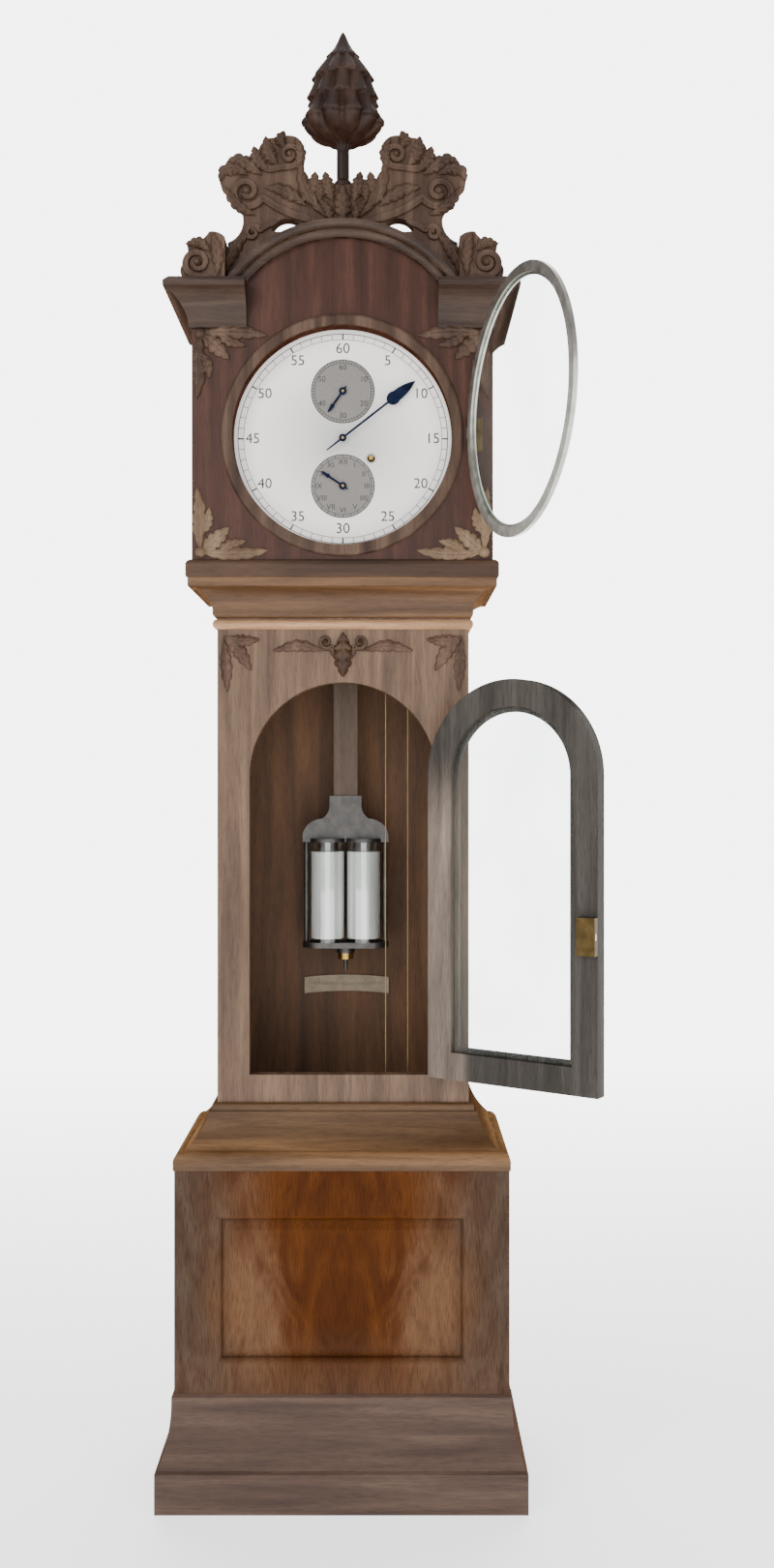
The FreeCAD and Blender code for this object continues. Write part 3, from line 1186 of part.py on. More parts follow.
def pallets():
    """Pallet arbor with the anchor over the escape wheel and the crutch behind the plates."""
    cock = plate_back + COCK_STAND_OFF
    shaft = fused([rod(ARBOR_RADIUS, 0, axis_z, train_front + END_SHAKE, cock - END_SHAKE),
                   rod(PIVOT_RADIUS, 0, axis_z, plate_front, cock + COCK_THICKNESS)])
    reach = ESCAPE_RADIUS + PALLET_GAP
    span = math.radians(PALLET_SPAN_ANGLE)
    tip_x = reach * math.sin(span) - 0.4 * PALLET_WIDTH
    tip_z = seconds_z + reach * math.cos(span)
    arm = slab([(0, axis_z - 0.4 * ANCHOR_DEPTH), (tip_x, tip_z),
                (tip_x + PALLET_WIDTH, tip_z + 0.1 * PALLET_LENGTH),
                (tip_x + 0.6 * PALLET_WIDTH, tip_z + PALLET_LENGTH), (0, axis_z + 0.6 * ANCHOR_DEPTH)],
               escape_wheel_y - PALLET_LAP, escape_wheel_y + WHEEL_THICKNESS + PALLET_LAP)
    crutch_y = plate_back + (COCK_STAND_OFF - CRUTCH_THICKNESS) / 2
    foot = axis_z - CRUTCH_LENGTH
    bar = box(-CRUTCH_WIDTH / 2, CRUTCH_WIDTH / 2, crutch_y, crutch_y + CRUTCH_THICKNESS, foot, axis_z)
    gap = ROD_WIDTH / 2 + FORK_CLEARANCE
    cross = box(-gap - FORK_PRONG, gap + FORK_PRONG, crutch_y, crutch_y + CRUTCH_THICKNESS,
                foot - FORK_PRONG, foot)
    prong = box(gap, gap + FORK_PRONG, crutch_y, pendulum_y + ROD_THICKNESS, foot - FORK_PRONG, foot)
    return [fused([shaft] + pair(arm) + [bar, cross] + pair(prong))]


def hand(length, y0, x, z, degrees):
    """Spade hand pointing up from its boss, then turned clockwise."""
    waist = HAND_WAIST
    spade = [(waist, 0), (waist, length * 0.62), (0.06 * length, length * 0.74, -0.25),
             (0, length, -0.06), (-0.06 * length, length * 0.74, -0.06), (-waist, length * 0.62, -0.25),
             (-waist, 0), (-0.6 * waist, -0.22 * length), (0.6 * waist, -0.22 * length)]
    points = [(x + point[0], z + point[1]) + tuple(point[2:]) for point in spade]
    blade = slab(points, y0, y0 + HAND_THICKNESS)
    boss = rod(HAND_BOSS_RADIUS, x, z, y0, y0 + HAND_THICKNESS)
    whole = fused([blade, boss]).cut(rod(PIVOT_RADIUS, x, z, y0, y0 + HAND_THICKNESS))
    whole.rotate(Vector(x, 0, z), Vector(0, 1, 0), degrees)
    return [whole]


def weight():
    """Brass cased weight with a stirrup over the pulley and the pulley's axle."""
    body = post(WEIGHT_RADIUS, pulley_x, line_y, WEIGHT_ABOVE_FLOOR, weight_top)
    body = body.makeFillet(WEIGHT_FILLET, [edge for edge in body.Edges if len(edge.Vertexes) == 1])
    inner = PULLEY_WIDTH / 2 + STIRRUP_GAP
    outer = inner + STIRRUP_THICKNESS
    x0 = pulley_x - STIRRUP_WIDTH / 2
    x1 = pulley_x + STIRRUP_WIDTH / 2
    cheeks = [box(x0, x1, line_y + y, line_y + y + STIRRUP_THICKNESS, weight_top, pulley_z + STIRRUP_HEAD)
              for y in (-outer, inner)]
    foot = box(x0, x1, line_y - outer, line_y + outer, weight_top - STIRRUP_SUNK, weight_top + STIRRUP_FOOT)
    axle = rod(PULLEY_AXLE_RADIUS, pulley_x, pulley_z, line_y - inner, line_y + inner)
    return [fused([body, foot] + cheeks + [axle])]


def pulley():
    """Grooved pulley: the line lies in the groove."""
    rim = PULLEY_RADIUS + PULLEY_RIM
    floor = PULLEY_RADIUS - LINE_RADIUS - LINE_CLEARANCE
    half = PULLEY_WIDTH / 2
    lip = PULLEY_LIP
    profile = [(PULLEY_AXLE_RADIUS + PIVOT_CLEARANCE, -half), (rim, -half), (rim, -half + lip),
               (floor, -lip), (floor, lip), (rim, half - lip), (rim, half),
               (PULLEY_AXLE_RADIUS + PIVOT_CLEARANCE, half)]
    return [turned(profile, Vector(pulley_x, line_y, pulley_z), Vector(0, 1, 0))]


def weight_line():
    """Gut line from the barrel down, under the pulley and up to the seat board."""
    far_x = pulley_x + PULLEY_RADIUS
    down = post(LINE_RADIUS, line_x, line_y, pulley_z, barrel_z)
    up = post(LINE_RADIUS, far_x, line_y, pulley_z, seat_under)
    circle = Part.makeCircle(LINE_RADIUS, Vector(far_x, line_y, pulley_z), Vector(0, 0, 1))
    section = Part.Face(Part.Wire(circle))
    bend = section.revolve(Vector(pulley_x, line_y, pulley_z), Vector(0, 1, 0), 180)
    return [fused([down, bend, up])]


def cheek():
    return box(half_trunk - SIDE_BOARD, half_trunk, trunk_inside, board_face, base_top, seat_under)


def base_side():
    return box(half_base - SIDE_BOARD, half_base, base_inside, board_face, 0, base_top)


def bottom_board():
    half = half_base - SIDE_BOARD
    return [box(-half, half, base_inside, board_face, 0, BOTTOM_BOARD)]


def hood_side():
    return box(half_hood - SIDE_BOARD, half_hood, hood_inside, back, neck_top, shoulder - TOP_BOARD)


def door_hinge_pins():
    return [post(PIN_RADIUS, door_axis.x, door_axis.y, z, z + HINGE_LENGTH) for z in hinge_heights()]


pieces = {
    "plinth": plinth(),
    "bottom_board": bottom_board(),
    "base_frame": base_frame(),
    "base_panel": base_panel(),
    "panel_moulding": panel_moulding(),
    "base_sides": pair(base_side()),
    "waist_moulding": waist_moulding(),
    "trunk_front": trunk_front_frame(),
    "trunk_sides": pair(cheek()),
    "backboard": backboard(),
    "neck_moulding": neck_moulding(),
    "seat_board": seat_board(),
    "beat_scale": beat_scale(),
    "fixed_hinge_leaves": leaf_pieces(True),
    "door_hinge_pins": door_hinge_pins(),
    "hood_front": hood_front_board(),
    "hood_sides": pair(hood_side()),
    "hood_top": [box(-half_hood, half_hood, hood_inside, back, shoulder - TOP_BOARD, shoulder)],
    "hood_band": hood_band(),
    "cornice": cornice(),
    "arch_moulding": arch_moulding(),
    "shoulder_scrolls": shoulder_scrolls(),
    "crest_board": crest_board(),
    "finial": finial(),
    "dial_surround": dial_surround(),
    "bezel_hinge_bracket": bezel_hinge_bracket(),
    "bezel_ring": bezel_ring(),
    "bezel_glass": bezel_glass(),
    "door_frame": door_frame(),
    "door_glass": door_glass(),
    "door_hinge_leaves": opened_door(leaf_pieces(False)),
    "door_lock": door_lock(),
    "lock_bolt": opened_door([bolt_block(0, BOLT_CLEARANCE)]),
    "dial_plate": dial_plate(),
    "front_plate": front_plate(),
    "back_plate": back_plate(),
    "plate_pillars": plate_pillars(),
    "back_cock": back_cock(),
    "suspension_bracket": suspension_bracket(),
    "suspension_spring": suspension_spring(),
    "pendulum_rod": pendulum_rod(),
    "jar_frame": jar_frame(),
    "mercury_jars": mercury_jars(),
    "mercury": mercury(),
    "rating_nut": rating_nut(),
    "pallets": pallets(),
    "centre_arbor": centre_arbor(),
    "third_wheel": third_wheel(),
    "escape_wheel": escape_wheel(),
    "minute_wheel": minute_wheel(),
    "hour_wheel": hour_wheel(),
    "great_wheel": great_wheel(),
    "barrel": barrel(),
    "minute_hand": hand(dial_opening - MINUTE_HAND_SHORT, minute_hand_y, 0, dial_z, MINUTE_HAND_ANGLE),
    "hour_hand": hand(SMALL_HAND_LENGTH, small_hand_y, 0, hours_z, HOUR_HAND_ANGLE),
    "seconds_hand": hand(SMALL_HAND_LENGTH, small_hand_y, 0, seconds_z, SECONDS_HAND_ANGLE),
    "weight": weight(),
    "pulley": pulley(),
    "weight_line": weight_line(),
}

os.makedirs("parts", exist_ok=True)
for name, solids in pieces.items():
    shape = solids[0] if len(solids) == 1 else Part.makeCompound(solids)
    shape.exportStep(f"parts/{name}.step")
    volumes = ", ".join(f"{solid.Volume:.0f}" for solid in shape.Solids)
    print(name, len(shape.Solids), "solids", "valid" if shape.isValid() else "INVALID", volumes)
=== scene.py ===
import bmesh
import bpy
import math
import numpy as np
from bpy.props import FloatProperty, IntProperty, PointerProperty
from bpy.types import Operator, Panel, PropertyGroup
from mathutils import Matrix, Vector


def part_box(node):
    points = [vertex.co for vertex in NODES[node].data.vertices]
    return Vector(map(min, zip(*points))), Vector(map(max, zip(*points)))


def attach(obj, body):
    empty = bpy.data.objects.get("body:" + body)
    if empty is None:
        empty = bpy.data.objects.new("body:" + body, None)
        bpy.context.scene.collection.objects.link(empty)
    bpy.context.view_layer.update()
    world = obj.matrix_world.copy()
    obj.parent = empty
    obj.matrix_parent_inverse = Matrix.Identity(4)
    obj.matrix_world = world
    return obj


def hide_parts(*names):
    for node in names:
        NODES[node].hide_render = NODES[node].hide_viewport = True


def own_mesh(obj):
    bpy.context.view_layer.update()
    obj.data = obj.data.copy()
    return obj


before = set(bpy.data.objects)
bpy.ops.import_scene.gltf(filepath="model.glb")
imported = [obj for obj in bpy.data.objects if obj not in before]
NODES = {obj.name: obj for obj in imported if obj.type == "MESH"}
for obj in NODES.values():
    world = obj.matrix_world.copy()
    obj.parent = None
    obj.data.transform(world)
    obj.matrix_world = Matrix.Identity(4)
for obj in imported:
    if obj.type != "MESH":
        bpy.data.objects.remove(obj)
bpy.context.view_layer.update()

bl_info = {
    "name": "Longcase regulator",
    "version": (1, 0, 0),
    "blender": (4, 5, 0),
    "location": "View3D > Sidebar > Clock",
    "description": "Finishes a mahogany longcase regulator: carving, dial, pendulum, line and stage",
    "category": "Object",
}

MM = 0.001


def front_of(node):
    """The front plane of a node, in millimetres."""
    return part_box(node)[0][1] / MM


def middle_of(node):
    """The middle of a node's box, in millimetres."""
    low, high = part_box(node)
    return [(a + b) / 2 / MM for a, b in zip(low, high)]


# Places taken from the CAD boxes, in millimetres
HOOD_FACE = front_of("hood_front")
TRUNK_FACE = front_of("trunk_front")
DIAL_FACE = front_of("dial_plate")
DIAL_X, _, DIAL_Z = middle_of("dial_surround")
CREST_FACE = front_of("crest_board")
SHOULDER_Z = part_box("crest_board")[0][2] / MM
FINIAL_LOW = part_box("finial")[0][2] / MM
FINIAL_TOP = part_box("finial")[1][2] / MM
FINIAL_Y = middle_of("finial")[1]
PLINTH_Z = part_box("plinth")[1][2] / MM
NECK_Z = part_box("neck_moulding")[0][2] / MM
HALF_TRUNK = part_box("trunk_sides")[1][0] / MM

# Engraving of the dial, in millimetres
SUBDIAL_OFFSET = 75.0
SUBDIAL_RADIUS = 50.0
SUBDIAL_INNER = 45.0
MINUTE_BAND = 9.0
WINDING_RING = 7.2
ENGRAVING_PROUD = 0.05
ENGRAVING_DEPTH = 0.2
NUMERAL_HALF_DEPTH = 0.08

# Beat scale: marks to each side of the middle, their step and drop in millimetres, and how much they rise to
# the sides for each square millimetre
BEAT_MARKS = 24
BEAT_STEP = 2.7
BEAT_SAG = 0.00055
BEAT_DROP = 2.0

# Painted highlights, paler zones that stand in for light: the middle of the waist's roll, and the hinge stile
# of the open door, in millimetres
WAIST_ROLL_Z = 546.0
WAIST_ROLL_EDGE = 22.0
WAIST_ROLL_CORE = 6.0
HINGE_STILE_X = 178.0
HINGE_STILE_FADE = 20.0
# Heights between which the door's painted highlight fades out, leaving its top in shade
DOOR_HIGHLIGHT_TOP = 1180.0
DOOR_HIGHLIGHT_FULL = 1040.0


class ClockCarving(PropertyGroup):
    """How deep and how fine the carving is."""

    relief: FloatProperty(name="Relief", default=9.0, min=1.0, max=20.0,
                          description="Height of carved leaves over their ground, in millimetres")
    lobes: IntProperty(name="Leaf lobes", default=5, min=2, max=9,
                       description="Lobes along each edge of a carved leaf")
    bud_leaves: IntProperty(name="Bud leaves", default=10, min=4, max=20,
                            description="Leaves round the finial's bud")


class ClockDial(PropertyGroup):
    """Engraving of the silvered dial."""

    numeral: FloatProperty(name="Numeral height", default=17.0, min=4.0, max=40.0,
                           description="Height of the minute numerals, in millimetres")
    small_numeral: FloatProperty(name="Small numeral height", default=9.0, min=2.0, max=20.0,
                                 description="Height of the hour and seconds numerals, in millimetres")
    ring: FloatProperty(name="Minute ring radius", default=166.0, min=50.0, max=172.0,
                        description="Outer radius of the minute ring, in millimetres")


class ClockStage(PropertyGroup):
    """Where the photo was taken from."""

    distance: FloatProperty(name="Distance", default=2.381, min=1.0, max=6.0, unit="LENGTH",
                            description="Camera distance from the middle of the case")
    height: FloatProperty(name="Height", default=1.121, min=0.2, max=3.0, unit="LENGTH",
                          description="Camera height")
    aside: FloatProperty(name="Aside", default=0.07, min=-1.0, max=1.0, unit="LENGTH",
                         description="Camera offset to the right")
    lens: FloatProperty(name="Lens", default=33.31, min=10.0, max=120.0, unit="CAMERA",
                        description="Focal length over a sensor 36 mm high")


# Sockets of the Mix node, which share their names
VECTOR_A, VECTOR_B, VECTOR_OUT = 4, 5, 1
COLOUR_A, COLOUR_B, COLOUR_OUT = 6, 7, 2

# Noise with one cycle for each unit of its vector
FRACTAL = {"Scale": 1.0, "Roughness": 0.55}


def linear(code):
    """Linear colour with alpha from an sRGB hex code."""
    values = [int(code[i:i + 2], 16) / 255 for i in (0, 2, 4)]
    return tuple(v / 12.92 if v <= 0.04045 else ((v + 0.055) / 1.055) ** 2.4 for v in values) + (1.0,)


def add(tree, kind, inputs=None, stops=(), **settings):
    """A shader node with its settings, its inputs set to a value or linked to a socket, and the stops of a
    colour ramp, each a position and a hex code."""
    made = tree.nodes.new(kind)
    for key, value in settings.items():
        setattr(made, key, value)
    for key, value in (inputs or {}).items():
        if isinstance(value, bpy.types.NodeSocket):
            tree.links.new(value, made.inputs[key])
        else:
            made.inputs[key].default_value = value
    if stops:
        elements = made.color_ramp.elements
        for _ in stops[2:]:
            elements.new(0.5)
        for element, (position, code) in zip(elements, stops):
            element.position = position
            element.color = linear(code)
    return made


def blank(name):
    """New material: its tree and its shader."""
    made = bpy.data.materials.new(name)
    made.use_nodes = True
    return made, made.node_tree, made.node_tree.nodes["Principled BSDF"]


def stretched(tree, per_metre, returns=False):
    """Object coordinates scaled by cycles per metre along X, Y and Z. With returns, X and Y change places
    where the surface faces sideways, so that the grain of a mitred moulding turns the corner."""
    coords = add(tree, "ShaderNodeTexCoord")
    place = coords.outputs["Object"]
    if returns:
        normal = add(tree, "ShaderNodeSeparateXYZ", {"Vector": coords.outputs["Normal"]}).outputs
        wide, deep = (add(tree, "ShaderNodeMath", {0: normal[axis]}, operation="ABSOLUTE") for axis in "XY")
        side = add(tree, "ShaderNodeMath", {0: wide.outputs[0], 1: deep.outputs[0]}, operation="GREATER_THAN")
        parts = add(tree, "ShaderNodeSeparateXYZ", {"Vector": place}).outputs
        swapped = add(tree, "ShaderNodeCombineXYZ", {"X": parts["Y"], "Y": parts["X"], "Z": parts["Z"]})
        turned = add(tree, "ShaderNodeMix", {"Factor": side.outputs[0], VECTOR_A: place,
                                             VECTOR_B: swapped.outputs["Vector"]}, data_type="VECTOR")
        place = turned.outputs[VECTOR_OUT]
    return add(tree, "ShaderNodeMapping", {"Vector": place, "Scale": per_metre}).outputs["Vector"]


def polish(tree, shader, shine):
    """Rubbed polish: full on what faces the room, fading to nothing on ledges, coves and side returns."""
    coords = add(tree, "ShaderNodeTexCoord")
    normal = add(tree, "ShaderNodeSeparateXYZ", {"Vector": coords.outputs["Normal"]})
    facing = add(tree, "ShaderNodeMath", {0: normal.outputs["Y"]}, operation="ABSOLUTE")
    share = add(tree, "ShaderNodeMapRange", {"Value": facing.outputs[0], "From Min": 0.4, "From Max": 0.85,
                                             "To Max": shine})
    tree.links.new(share.outputs["Result"], shader.inputs["Specular IOR Level"])


# Timber: places of its three tones on the ramp, how long a band is for its width, and the pores in
# millimetres, wider than real ones so that they show
TONE_PLACES = (0.28, 0.5, 0.72)
BAND_STRETCH = 14
PORE_WIDTH = 1.3
PORE_LENGTH = 22


def wood(name, tones, along, gloss=0.34, shine=0.25, band=26.0, returns=False):
    """Polished timber in three tones from dark to light. The grain runs along one axis: broad bands of tone,
    then pores about a millimetre wide and twenty long that darken the colour and dent the surface."""
    made, tree, shader = blank(name)
    broad = [1000 / band] * 3
    broad[along] = 1000 / (band * BAND_STRETCH)
    fine = [1000 / PORE_WIDTH] * 3
    fine[along] = 1000 / PORE_LENGTH
    tone = add(tree, "ShaderNodeTexNoise", {"Vector": stretched(tree, broad, returns), "Detail": 7.0,
                                            "Distortion": 0.6, **FRACTAL}).outputs["Fac"]
    pore = add(tree, "ShaderNodeTexNoise", {"Vector": stretched(tree, fine, returns), "Detail": 3.0,
                                            **FRACTAL}).outputs["Fac"]
    colour = add(tree, "ShaderNodeValToRGB", {"Fac": tone}, list(zip(TONE_PLACES, tones.split())))
    shade = add(tree, "ShaderNodeValToRGB", {"Fac": pore}, [(0.36, "5a4038"), (0.52, "ffffff")])
    mixed = add(tree, "ShaderNodeMix", {"Factor": 0.3, COLOUR_A: colour.outputs["Color"],
                                        COLOUR_B: shade.outputs["Color"]},
                data_type="RGBA", blend_type="MULTIPLY")
    tree.links.new(mixed.outputs[COLOUR_OUT], shader.inputs["Base Color"])
    rough = add(tree, "ShaderNodeMapRange", {"Value": tone, "To Min": gloss, "To Max": gloss + 0.16})
    tree.links.new(rough.outputs["Result"], shader.inputs["Roughness"])
    bump = add(tree, "ShaderNodeBump", {"Height": pore, "Strength": 0.12, "Distance": 0.0004})
    tree.links.new(bump.outputs["Normal"], shader.inputs["Normal"])
    polish(tree, shader, shine)
    return made


def zoned_veneer(name, stops, amber, foot, middle):
    """Flame veneer matched about the middle of the front. The tone follows the distance from the middle, bent
    by plumes of noise that rise and spread; an amber patch lies on each side, and the foot is plainer and
    greyer."""
    patch_x, patch_z = 0.192, middle * MM
    patch_shape = (14.0, 1.0, 7.5)
    plume_scale, plume_lean = (22.0, 8.0, 7.0), math.radians(24)
    foot_height = 110
    made, tree, shader = blank(name)
    coords = add(tree, "ShaderNodeTexCoord")
    parts = add(tree, "ShaderNodeSeparateXYZ", {"Vector": coords.outputs["Object"]}).outputs
    side = add(tree, "ShaderNodeMath", {0: parts["X"]}, operation="ABSOLUTE").outputs[0]
    matched = add(tree, "ShaderNodeCombineXYZ", {"X": side, "Y": parts["Y"], "Z": parts["Z"]})
    plume = add(tree, "ShaderNodeMapping", {"Vector": matched.outputs["Vector"], "Scale": plume_scale,
                                            "Rotation": (0.0, plume_lean, 0.0)})
    tone = add(tree, "ShaderNodeTexNoise", {"Vector": plume.outputs["Vector"], "Detail": 8.0,
                                            "Distortion": 1.4, **FRACTAL}).outputs["Fac"]
    bent = add(tree, "ShaderNodeMath", {0: tone, 1: 0.1, 2: side}, operation="MULTIPLY_ADD").outputs[0]
    share = add(tree, "ShaderNodeMapRange", {"Value": bent, "From Min": 0.05, "From Max": 0.31})
    colour = add(tree, "ShaderNodeValToRGB", {"Fac": share.outputs["Result"]}, stops).outputs["Color"]
    place = add(tree, "ShaderNodeCombineXYZ", {"X": bent, "Z": parts["Z"]})
    away = add(tree, "ShaderNodeVectorMath", {0: place.outputs["Vector"], 1: (patch_x, 0.0, patch_z)},
               operation="SUBTRACT")
    oval = add(tree, "ShaderNodeVectorMath", {0: away.outputs["Vector"], 1: patch_shape},
               operation="MULTIPLY")
    reach = add(tree, "ShaderNodeVectorMath", {0: oval.outputs["Vector"]}, operation="LENGTH")
    patch = add(tree, "ShaderNodeMapRange", {"Value": reach.outputs["Value"], "From Min": 1.15,
                                             "From Max": 0.25}, interpolation_type="SMOOTHSTEP")
    low = add(tree, "ShaderNodeMapRange", {"Value": parts["Z"], "From Min": (PLINTH_Z + foot_height) * MM,
                                           "From Max": PLINTH_Z * MM, "To Max": 0.6})
    for code, zone in ((amber, patch), (foot, low)):
        colour = add(tree, "ShaderNodeMix", {"Factor": zone.outputs["Result"], COLOUR_A: colour,
                                             COLOUR_B: linear(code)}, data_type="RGBA").outputs[COLOUR_OUT]
    fine = add(tree, "ShaderNodeTexNoise", {"Vector": stretched(tree, (800.0, 800.0, 45.0)), "Detail": 3.0,
                                            **FRACTAL}).outputs["Fac"]
    streaks = ((tone, [(0.3, "b8a498"), (0.62, "ffffff")], 0.8),
               (fine, [(0.34, "a08c84"), (0.54, "ffffff")], 0.6))
    for factor, shades, strength in streaks:
        shade = add(tree, "ShaderNodeValToRGB", {"Fac": factor}, shades)
        mixed = add(tree, "ShaderNodeMix", {"Factor": strength, COLOUR_A: colour,
                                            COLOUR_B: shade.outputs["Color"]},
                    data_type="RGBA", blend_type="MULTIPLY")
        colour = mixed.outputs[COLOUR_OUT]
    tree.links.new(colour, shader.inputs["Base Color"])
    bump = add(tree, "ShaderNodeBump", {"Height": fine, "Strength": 0.08, "Distance": 0.0003})
    tree.links.new(bump.outputs["Normal"], shader.inputs["Normal"])
    shader.inputs["Roughness"].default_value = 0.3
    polish(tree, shader, 0.06)
    return made


def distance_from(tree, point):
    """Distance of the surface from a point given in millimetres, as a socket in metres."""
    coords = add(tree, "ShaderNodeTexCoord")
    metres = [value * MM for value in point]
    return add(tree, "ShaderNodeVectorMath", {0: coords.outputs["Object"], 1: metres},
               operation="DISTANCE").outputs["Value"]


def silvered_dial(name):
    """Silvered dial: bright round the minute ring, greyer toward the middle, a little cloudy, with the
    seconds and hour circles matted darker."""
    made, tree, shader = blank(name)
    away = distance_from(tree, (DIAL_X, DIAL_FACE, DIAL_Z))
    cloud = add(tree, "ShaderNodeTexNoise", {"Vector": stretched(tree, (18.0, 18.0, 18.0)), "Detail": 5.0,
                                             **FRACTAL})
    place = add(tree, "ShaderNodeMath", {0: cloud.outputs["Fac"], 1: 0.03, 2: away}, operation="MULTIPLY_ADD")
    share = add(tree, "ShaderNodeMapRange", {"Value": place.outputs[0], "From Max": 0.19})
    colour = add(tree, "ShaderNodeValToRGB", {"Fac": share.outputs["Result"]},
                 [(0.1, "b0afac"), (0.5, "dcd9d5"), (0.8, "f8f4f0")]).outputs["Color"]
    for offset in (SUBDIAL_OFFSET, -SUBDIAL_OFFSET):
        near = distance_from(tree, (DIAL_X, DIAL_FACE, DIAL_Z + offset))
        inside = add(tree, "ShaderNodeMapRange", {"Value": near, "From Min": (SUBDIAL_RADIUS + 0.5) * MM,
                                                  "From Max": (SUBDIAL_RADIUS - 0.5) * MM})
        speckle = add(tree, "ShaderNodeTexNoise", {"Vector": stretched(tree, (900.0, 900.0, 900.0)),
                                                   "Detail": 2.0, **FRACTAL})
        matting = add(tree, "ShaderNodeValToRGB", {"Fac": speckle.outputs["Fac"]},
                      [(0.3, "605c5a"), (0.7, "827e7a")])
        mixed = add(tree, "ShaderNodeMix", {"Factor": inside.outputs["Result"], COLOUR_A: colour,
                                            COLOUR_B: matting.outputs["Color"]}, data_type="RGBA")
        colour = mixed.outputs[COLOUR_OUT]
    tree.links.new(colour, shader.inputs["Base Color"])
    shader.inputs["Roughness"].default_value = 0.42
    shader.inputs["Metallic"].default_value = 0.1
    return made


def metal(name, dark, light, rough, grain=(60.0, 60.0, 60.0)):
    """Bare metal with a slight cloudiness of colour and polish, its grain in cycles per metre."""
    made, tree, shader = blank(name)
    tone = add(tree, "ShaderNodeTexNoise", {"Vector": stretched(tree, grain), "Detail": 5.0,
                                            **FRACTAL}).outputs["Fac"]
    colour = add(tree, "ShaderNodeValToRGB", {"Fac": tone}, [(0.3, dark), (0.7, light)])
    tree.links.new(colour.outputs["Color"], shader.inputs["Base Color"])
    sheen = add(tree, "ShaderNodeMapRange", {"Value": tone, "To Min": rough, "To Max": rough + 0.12})
    tree.links.new(sheen.outputs["Result"], shader.inputs["Roughness"])
    shader.inputs["Metallic"].default_value = 1.0
    return made


def painted(name, dark, light, rough, grain, metallic=0.0):
    """Matt or satin surface with mottled colour, its grain in cycles per metre."""
    made, tree, shader = blank(name)
    tone = add(tree, "ShaderNodeTexNoise", {"Vector": stretched(tree, grain), "Detail": 6.0, **FRACTAL})
    colour = add(tree, "ShaderNodeValToRGB", {"Fac": tone.outputs["Fac"]}, [(0.3, dark), (0.7, light)])
    tree.links.new(colour.outputs["Color"], shader.inputs["Base Color"])
    shader.inputs["Roughness"].default_value = rough
    shader.inputs["Metallic"].default_value = metallic
    return made


def clear_glass(name, tint, shine, haze):
    """Old glass: mostly clear, faintly wavy, and a constant share of it mirrors the room through a haze."""
    made, tree, shader = blank(name)
    wave = add(tree, "ShaderNodeTexNoise", {"Vector": stretched(tree, (9.0, 9.0, 5.0)), "Detail": 2.0,
                                            **FRACTAL}).outputs["Fac"]
    bump = add(tree, "ShaderNodeBump", {"Height": wave, "Strength": 0.05, "Distance": 0.002})
    mirror = add(tree, "ShaderNodeBsdfGlossy", {"Roughness": haze, "Color": linear("ffffff"),
                                                "Normal": bump.outputs["Normal"]})
    hue = add(tree, "ShaderNodeValToRGB", {"Fac": wave}, [(0.2, tint), (0.8, "ffffff")])
    through = add(tree, "ShaderNodeBsdfTransparent", {"Color": hue.outputs["Color"]})
    mixed = add(tree, "ShaderNodeMixShader", {"Fac": shine, 1: through.outputs["BSDF"],
                                              2: mirror.outputs["BSDF"]})
    tree.links.new(mixed.outputs["Shader"], tree.nodes["Material Output"].inputs["Surface"])
    tree.nodes.remove(shader)
    return made


def bleach(made, gain, *zones):
    """Paints a highlight into a timber: makes it paler by a gain. Each zone is an axis and two places on it,
    in millimetres, between which the gain sets in; the zones multiply."""
    tree = made.node_tree
    shader = tree.nodes["Principled BSDF"]
    coords = add(tree, "ShaderNodeTexCoord")
    parts = add(tree, "ShaderNodeSeparateXYZ", {"Vector": coords.outputs["Object"]}).outputs
    share = 1.0
    for axis, none, full in zones:
        zone = add(tree, "ShaderNodeMapRange", {"Value": parts[axis], "From Min": none * MM,
                                                "From Max": full * MM}, interpolation_type="SMOOTHSTEP")
        both = add(tree, "ShaderNodeMath", {0: zone.outputs["Result"], 1: share}, operation="MULTIPLY")
        share = both.outputs[0]
    old = shader.inputs["Base Color"].links[0].from_socket
    paler = add(tree, "ShaderNodeVectorMath", {0: old, 1: gain}, operation="MULTIPLY")
    mixed = add(tree, "ShaderNodeMix", {"Factor": share, COLOUR_A: old, COLOUR_B: paler.outputs["Vector"]},
                data_type="RGBA")
    tree.links.new(mixed.outputs[COLOUR_OUT], shader.inputs["Base Color"])


def light_up(made):
    """Makes the floor glow, more so the farther it lies behind the clock."""
    tree = made.node_tree
    shader = tree.nodes["Principled BSDF"]
    shader.inputs["Emission Color"].default_value = linear("ffffff")
    coords = add(tree, "ShaderNodeTexCoord")
    place = add(tree, "ShaderNodeSeparateXYZ", {"Vector": coords.outputs["Object"]})
    glow = add(tree, "ShaderNodeMapRange", {"Value": place.outputs["Y"], "From Min": 0.2, "From Max": 3.4,
                                            "To Min": 1.4, "To Max": 4.4})
    tree.links.new(glow.outputs["Result"], shader.inputs["Emission Strength"])


